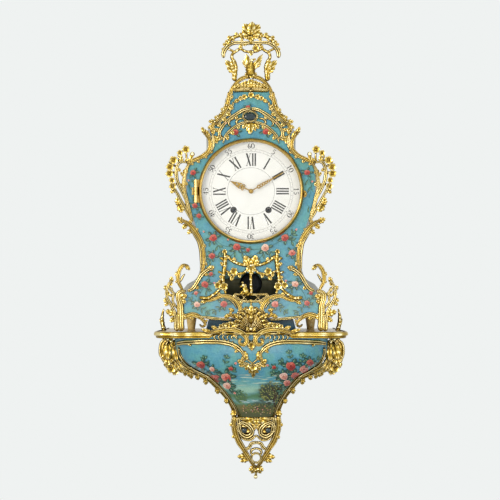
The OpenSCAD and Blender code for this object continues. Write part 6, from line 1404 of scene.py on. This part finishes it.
class DialInk:
    """Raised enamel ink on the dial: strokes a little domed, so that the light catches them."""

    def __init__(self):
        self.verts, self.faces = [], []

    def stroke(self, line, half):
        """line is in dial millimetres, half is the half width at each point."""
        line, half = np.array(line, float), np.array(half, float)
        t = np.gradient(line, axis=0)
        t /= np.maximum(np.linalg.norm(t, axis=1, keepdims=True), 1e-9)
        n = np.stack([-t[:, 1], t[:, 0]], axis=1)
        base = len(self.verts)
        for p, q, h in zip(line, n, half):
            for u, lift in ((-1, 0.01), (-0.7, 0.16), (0, 0.2), (0.7, 0.16), (1, 0.01)):
                x, z = p + q * h * u
                self.verts.append((DIAL_X + x * MM, DIAL_FACE - lift * MM, DIAL_Z + z * MM))
        for i in range(len(line) - 1):
            for k in range(4):
                a, b = base + i * 5 + k, base + (i + 1) * 5 + k
                self.faces.append((a, b, b + 1, a + 1))
        m = base + (len(line) - 1) * 5
        self.faces += [tuple(base + k for k in range(5)), tuple(m + k for k in range(4, -1, -1))]

    def put(self, points, half, r, angle, size, centre):
        """A stroke of a figure whose foot stands at radius r, angle clockwise from the top."""
        line = smooth(points, 8) if len(points) > 2 else np.array([points[0], points[1]], float)
        f = np.linspace(0, 1, len(line))
        wide = along(list(half), f) * size
        out, side = bearing(angle)
        self.stroke([out * (q[1] * size) + side * ((q[0] - centre) * size) + r * out for q in line], wide)

    def roman(self, text, angle, low, high):
        """Heavy serifed numeral between two radii, feet to the centre."""
        tall = high - low
        wide = {"I": 6, "V": 13.5, "X": 14.5}
        total = sum(wide[ch] for ch in text)
        squeeze = min(1, 31 / total)
        x = -total * squeeze / 2
        out, side = bearing(angle)

        def bar(p, q, h):
            n = 10
            ends = np.linspace(0, 1, n)[:, None]
            pts = np.array(p)[None, :] * (1 - ends) + np.array(q)[None, :] * ends
            self.stroke([side * u + out * (low + v) for u, v in pts], np.full(n, h))

        def serif(u, v, reach=2.1):
            bar((u - reach, v), (u + reach, v), 0.5)

        for ch in text:
            w = wide[ch] * squeeze
            c = x + w / 2
            if ch == "I":
                bar((c, 0.3), (c, tall - 0.3), 1.7 * squeeze ** 0.3)
                serif(c, 0.4)
                serif(c, tall - 0.4)
            elif ch == "V":
                bar((c - w * 0.3, tall - 0.3), (c + 0.2, 0.3), 1.9)
                bar((c + w * 0.32, tall - 0.3), (c + 0.2, 0.3), 0.62)
                serif(c - w * 0.3, tall - 0.4, 2.3)
                serif(c + w * 0.32, tall - 0.4, 1.9)
            else:
                bar((c - w * 0.3, tall - 0.3), (c + w * 0.3, 0.3), 1.9)
                bar((c + w * 0.3, tall - 0.3), (c - w * 0.3, 0.3), 0.62)
                for u in (-0.3, 0.3):
                    serif(c + w * u, 0.4, 2)
                    serif(c + w * u, tall - 0.4, 2)
            x += w

    def ring(self, r, h):
        turn = np.linspace(0, 2 * math.pi, 241)
        self.stroke(np.stack([np.sin(turn), np.cos(turn)], axis=1) * r, np.full(241, h))


def dial_figures():
    ink = DialInk()
    for hour, text in enumerate(ROMAN):
        ink.roman(text, 30 * hour, *NUMERAL_BAND)
    for minute in range(60):
        out = bearing(6 * minute)[0]
        r = HOUR_DOT if minute % 5 == 0 else MINUTE_DOT
        steps = np.array([-r, -r / 2, 0, r / 2, r])
        ink.stroke([out * DOT_RADIUS + out * step for step in steps],
                   np.sqrt(np.clip(r * r - steps ** 2, 0.01, 9)))
    for r, half in TRACKS:
        ink.ring(r, half)
    for k in range(1, 13):
        text = str(5 * k)
        for i, ch in enumerate(text):
            for points, half in FIGURES[ch]:
                centre = 0.5 - (i - (len(text) - 1) / 2) * 1.12
                ink.put(points, half, FIGURE_FOOT, 30 * k, FIGURE_SIZE, centre)
    for s in (-1, 1):
        turn = np.linspace(0, 2 * math.pi, 61)
        at = np.array([s * WINDING_X, -WINDING_DROP])
        ink.stroke(np.stack([np.sin(turn), np.cos(turn)], axis=1) * COLLET_RADIUS + at,
                   np.full(61, COLLET_HALF))
    mesh = new_mesh("dial_figures", ink.verts, [f[::-1] for f in ink.faces])
    return finish_piece(mesh, "dial_plate", "enamel", "enamel_black")


# Sizes and colours a user would change
class ClockLook(PropertyGroup):
    gold_tint: FloatVectorProperty(name="Gold tint", description="Multiplies the colour of the fire gilding",
                                   default=(1.0, 1.0, 1.0), subtype="COLOR", min=0, max=1)
    lacquer_tint: FloatVectorProperty(name="Lacquer tint",
                                      description="Multiplies the colour of the blue lacquer",
                                      default=(1.0, 1.0, 1.0), subtype="COLOR", min=0, max=1)
    fullness: FloatProperty(name="Fullness",
                            description="How broad the bands, stems and leaves of the mounts are",
                            default=1.42, min=0.8, max=1.8, subtype="FACTOR")
    camera_gap: FloatProperty(name="Camera distance", description="From the case front to the camera",
                              default=3.5, min=1.5, max=8, unit="LENGTH")


# Camera and floor in metres, the lens in millimetres. Lamps: name, place, aim, width, watts, tint
SENSOR, FOCAL, CAMERA_X, CAMERA_Z = 36, 105, -0.0024, 0.2418
FLOOR_HALF, FLOOR_NEAR, FLOOR_FAR, FLOOR_Z = 2.5, -4.4, 0.9, -0.9
LAMPS = (
    ("key", (-2.3, -3.1, 1.0), (0, -0.1, 0.0), 1.4, 66, "#FFF9EE"),
    ("fill", (2.4, -2.4, 0.2), (0, -0.1, 0.0), 2.0, 18, "#F2F6FF"),
    ("top", (0.2, -1.9, 2.8), (0, -0.1, 0.0), 1.4, 14, "#FFFFFF"),
    ("low", (0.1, -3.0, -0.45), (0, -0.1, 0.0), 1.0, 18, "#FFF8EC"))
# Parts whose own finish differs from that of their slot
OWN_COAT = {"hour_hand": "gilt_rubbed", "minute_hand": "gilt_rubbed", "case_floor": "gilt_wood",
            "back_door": "inner_paint", "bracket_shelf": "shelf_lacquer", "case_back_frame": "frame_oak",
            "crest_stone": "stone"}


# Operators: one for each group of pieces, then the studio
class CLOCK_OT_coats(Operator):
    """Give the solid parts their finishes"""
    bl_idname = "clock.coats"
    bl_label = "Coat The Parts"

    def execute(self, context):
        make_materials()
        for name, obj in NODES.items():
            slot = obj["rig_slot"] if "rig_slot" in obj else None
            for s in obj.material_slots:
                key = (s.material.name.split(".")[0] if s.material else slot) or slot
                if key not in MATERIALS:
                    raise RuntimeError(f"no finish for {name}: {key}")
                s.material = MATERIALS[OWN_COAT.get(name, "gilt_plain" if key == "gilt_bronze" else key)]
        return {"FINISHED"}


def cast_mounts(seat, seed, *draws):
    """Casts one mount from each function, which bears the name of the node that it stands for."""
    for k, draw in enumerate(draws):
        c = Casting(seat, full=bpy.context.scene.clock_look.fullness, seed=seed + k)
        draw(c)
        node = draw.__name__
        mesh = new_mesh(node + "_chased", np.concatenate(c.verts), c.faces, wear=np.concatenate(c.wear))
        finish_piece(mesh, node, "gilt_bronze", "gilt_bronze", [node])
    return {"FINISHED"}


class CLOCK_OT_crown(Operator):
    """Cast the crown: bower, bird, shell mound, corner bands and crest"""
    bl_idname = "clock.crown"
    bl_label = "Cast The Crown"

    def execute(self, context):
        return cast_mounts(ON_CASE, 1, crown_bower, crown_figure, crown_rocaille, crown_corners, crest_mount)


class CLOCK_OT_case_mounts(Operator):
    """Cast the mounts of the case sides, waist, opening, panel, apron and feet"""
    bl_idname = "clock.case_mounts"
    bl_label = "Cast The Case Mounts"

    def execute(self, context):
        cast_mounts(ON_CASE, 21, shoulder_mounts, dial_side_mounts, waist_mounts, aperture_trellis,
                    aperture_group, panel_scrolls, apron_shell)
        cast_mounts(ON_CASE, 40, foot_mount_left)
        return cast_mounts(ON_CASE, 42, foot_mount_right)


class CLOCK_OT_bracket_mounts(Operator):
    """Cast the rim of the shelf, the console mounts and the pierced terminal"""
    bl_idname = "clock.bracket_mounts"
    bl_label = "Cast The Bracket Mounts"

    def execute(self, context):
        cast_mounts(ON_SHELF, 61, shelf_rim)
        cast_mounts(ON_CONSOLE, 62, frieze_mounts, bracket_corners, bracket_rails, bracket_centre_mount)
        return cast_mounts(ON_TERMINAL, 66, bracket_terminal)


class CLOCK_OT_painting(Operator):
    """Carve the console body, set stones and door strips, paint the roses and the valley"""
    bl_idname = "clock.painting"
    bl_label = "Paint The Lacquer"

    def execute(self, context):
        console_body()
        door_rebate()
        terminal_stones()
        case_bouquets()
        console_painting()
        return {"FINISHED"}


class CLOCK_OT_dial(Operator):
    """Fire the numerals and tracks on the enamel dial"""
    bl_idname = "clock.dial"
    bl_label = "Mark The Dial"

    def execute(self, context):
        dial_figures()
        return {"FINISHED"}


class CLOCK_OT_studio(Operator):
    """Set up the camera, the soft lamps, the world and the floor"""
    bl_idname = "clock.studio"
    bl_label = "Set Up The Studio"

    def execute(self, context):
        scene = context.scene
        scene.view_settings.view_transform = "Standard"
        lens = bpy.data.cameras.new("studio_camera")
        lens.sensor_width, lens.lens = SENSOR, FOCAL
        camera = bpy.data.objects.new("studio_camera", lens)
        camera.location = (CAMERA_X, FRONT - scene.clock_look.camera_gap, CAMERA_Z)
        camera.rotation_euler = (math.radians(90), 0, 0)
        scene.collection.objects.link(camera)
        scene.camera = camera
        for name, place, aim, size, power, tint in LAMPS:
            lamp = bpy.data.lights.new(name, "AREA")
            lamp.size, lamp.energy, lamp.color = size, power, colour(tint)[:3]
            obj = bpy.data.objects.new(name, lamp)
            obj.location = place
            way = np.array(aim) - np.array(place)
            obj.rotation_euler = (math.atan2(math.hypot(way[0], way[1]), -way[2]), 0,
                                  math.atan2(-way[0], way[1]))
            scene.collection.objects.link(obj)
        world = bpy.data.worlds.new("studio_world")
        scene.world = world
        world.use_nodes = True
        tree = world.node_tree
        back = tree.nodes["Background"]
        path = add(tree, "ShaderNodeLightPath").node.outputs
        seen = add(tree, MATHS, [(0, path["Is Camera Ray"]), (1, path["Is Transmission Ray"])],
                   operation="MAXIMUM")
        lit = add(tree, MATHS, [(0, seen), (1, path["Is Glossy Ray"])], operation="MAXIMUM")
        tree.links.new(add(tree, MIX, [(0, lit), (6, "#C4C7CA"), (7, "#EFF2F1")], **BLEND),
                       back.inputs["Color"])
        strength = add(tree, MATHS, [(0, lit), (1, 0.55), (2, 0.45)], operation="MULTIPLY_ADD")
        tree.links.new(strength, back.inputs["Strength"])
        corners = ((-1, FLOOR_NEAR), (1, FLOOR_NEAR), (1, FLOOR_FAR), (-1, FLOOR_FAR))
        mesh = new_mesh("floor", [(side * FLOOR_HALF, y, FLOOR_Z) for side, y in corners], [(0, 1, 2, 3)])
        mesh.materials.append(plain_coat("Pale studio floor", "#E6E7E6", "#EBECEB", "#F0F1F0", 400, 0.8))
        floor = bpy.data.objects.new("floor", mesh)
        scene.collection.objects.link(floor)
        return {"FINISHED"}


class CLOCK_PT_panel(Panel):
    bl_label = "Pendulum Clock"
    bl_idname = "CLOCK_PT_panel"
    bl_space_type = "VIEW_3D"
    bl_region_type = "UI"
    bl_category = "Clock"

    def draw(self, context):
        look = context.scene.clock_look
        for key in ("gold_tint", "lacquer_tint", "fullness", "camera_gap"):
            self.layout.prop(look, key)
        for step in STEPS:
            self.layout.operator(step.bl_idname)


STEPS = (CLOCK_OT_coats, CLOCK_OT_crown, CLOCK_OT_case_mounts, CLOCK_OT_bracket_mounts, CLOCK_OT_painting,
         CLOCK_OT_dial, CLOCK_OT_studio)
CLASSES = (ClockLook,) + STEPS + (CLOCK_PT_panel,)


def register():
    for cls in CLASSES:
        bpy.utils.register_class(cls)
    bpy.types.Scene.clock_look = PointerProperty(type=ClockLook)


def unregister():
    del bpy.types.Scene.clock_look
    for cls in reversed(CLASSES):
        bpy.utils.unregister_class(cls)


def main():
    register()
    for step in STEPS:
        group, call = step.bl_idname.split(".")
        getattr(getattr(bpy.ops, group), call)()


if __name__ == "__main__":
    main()
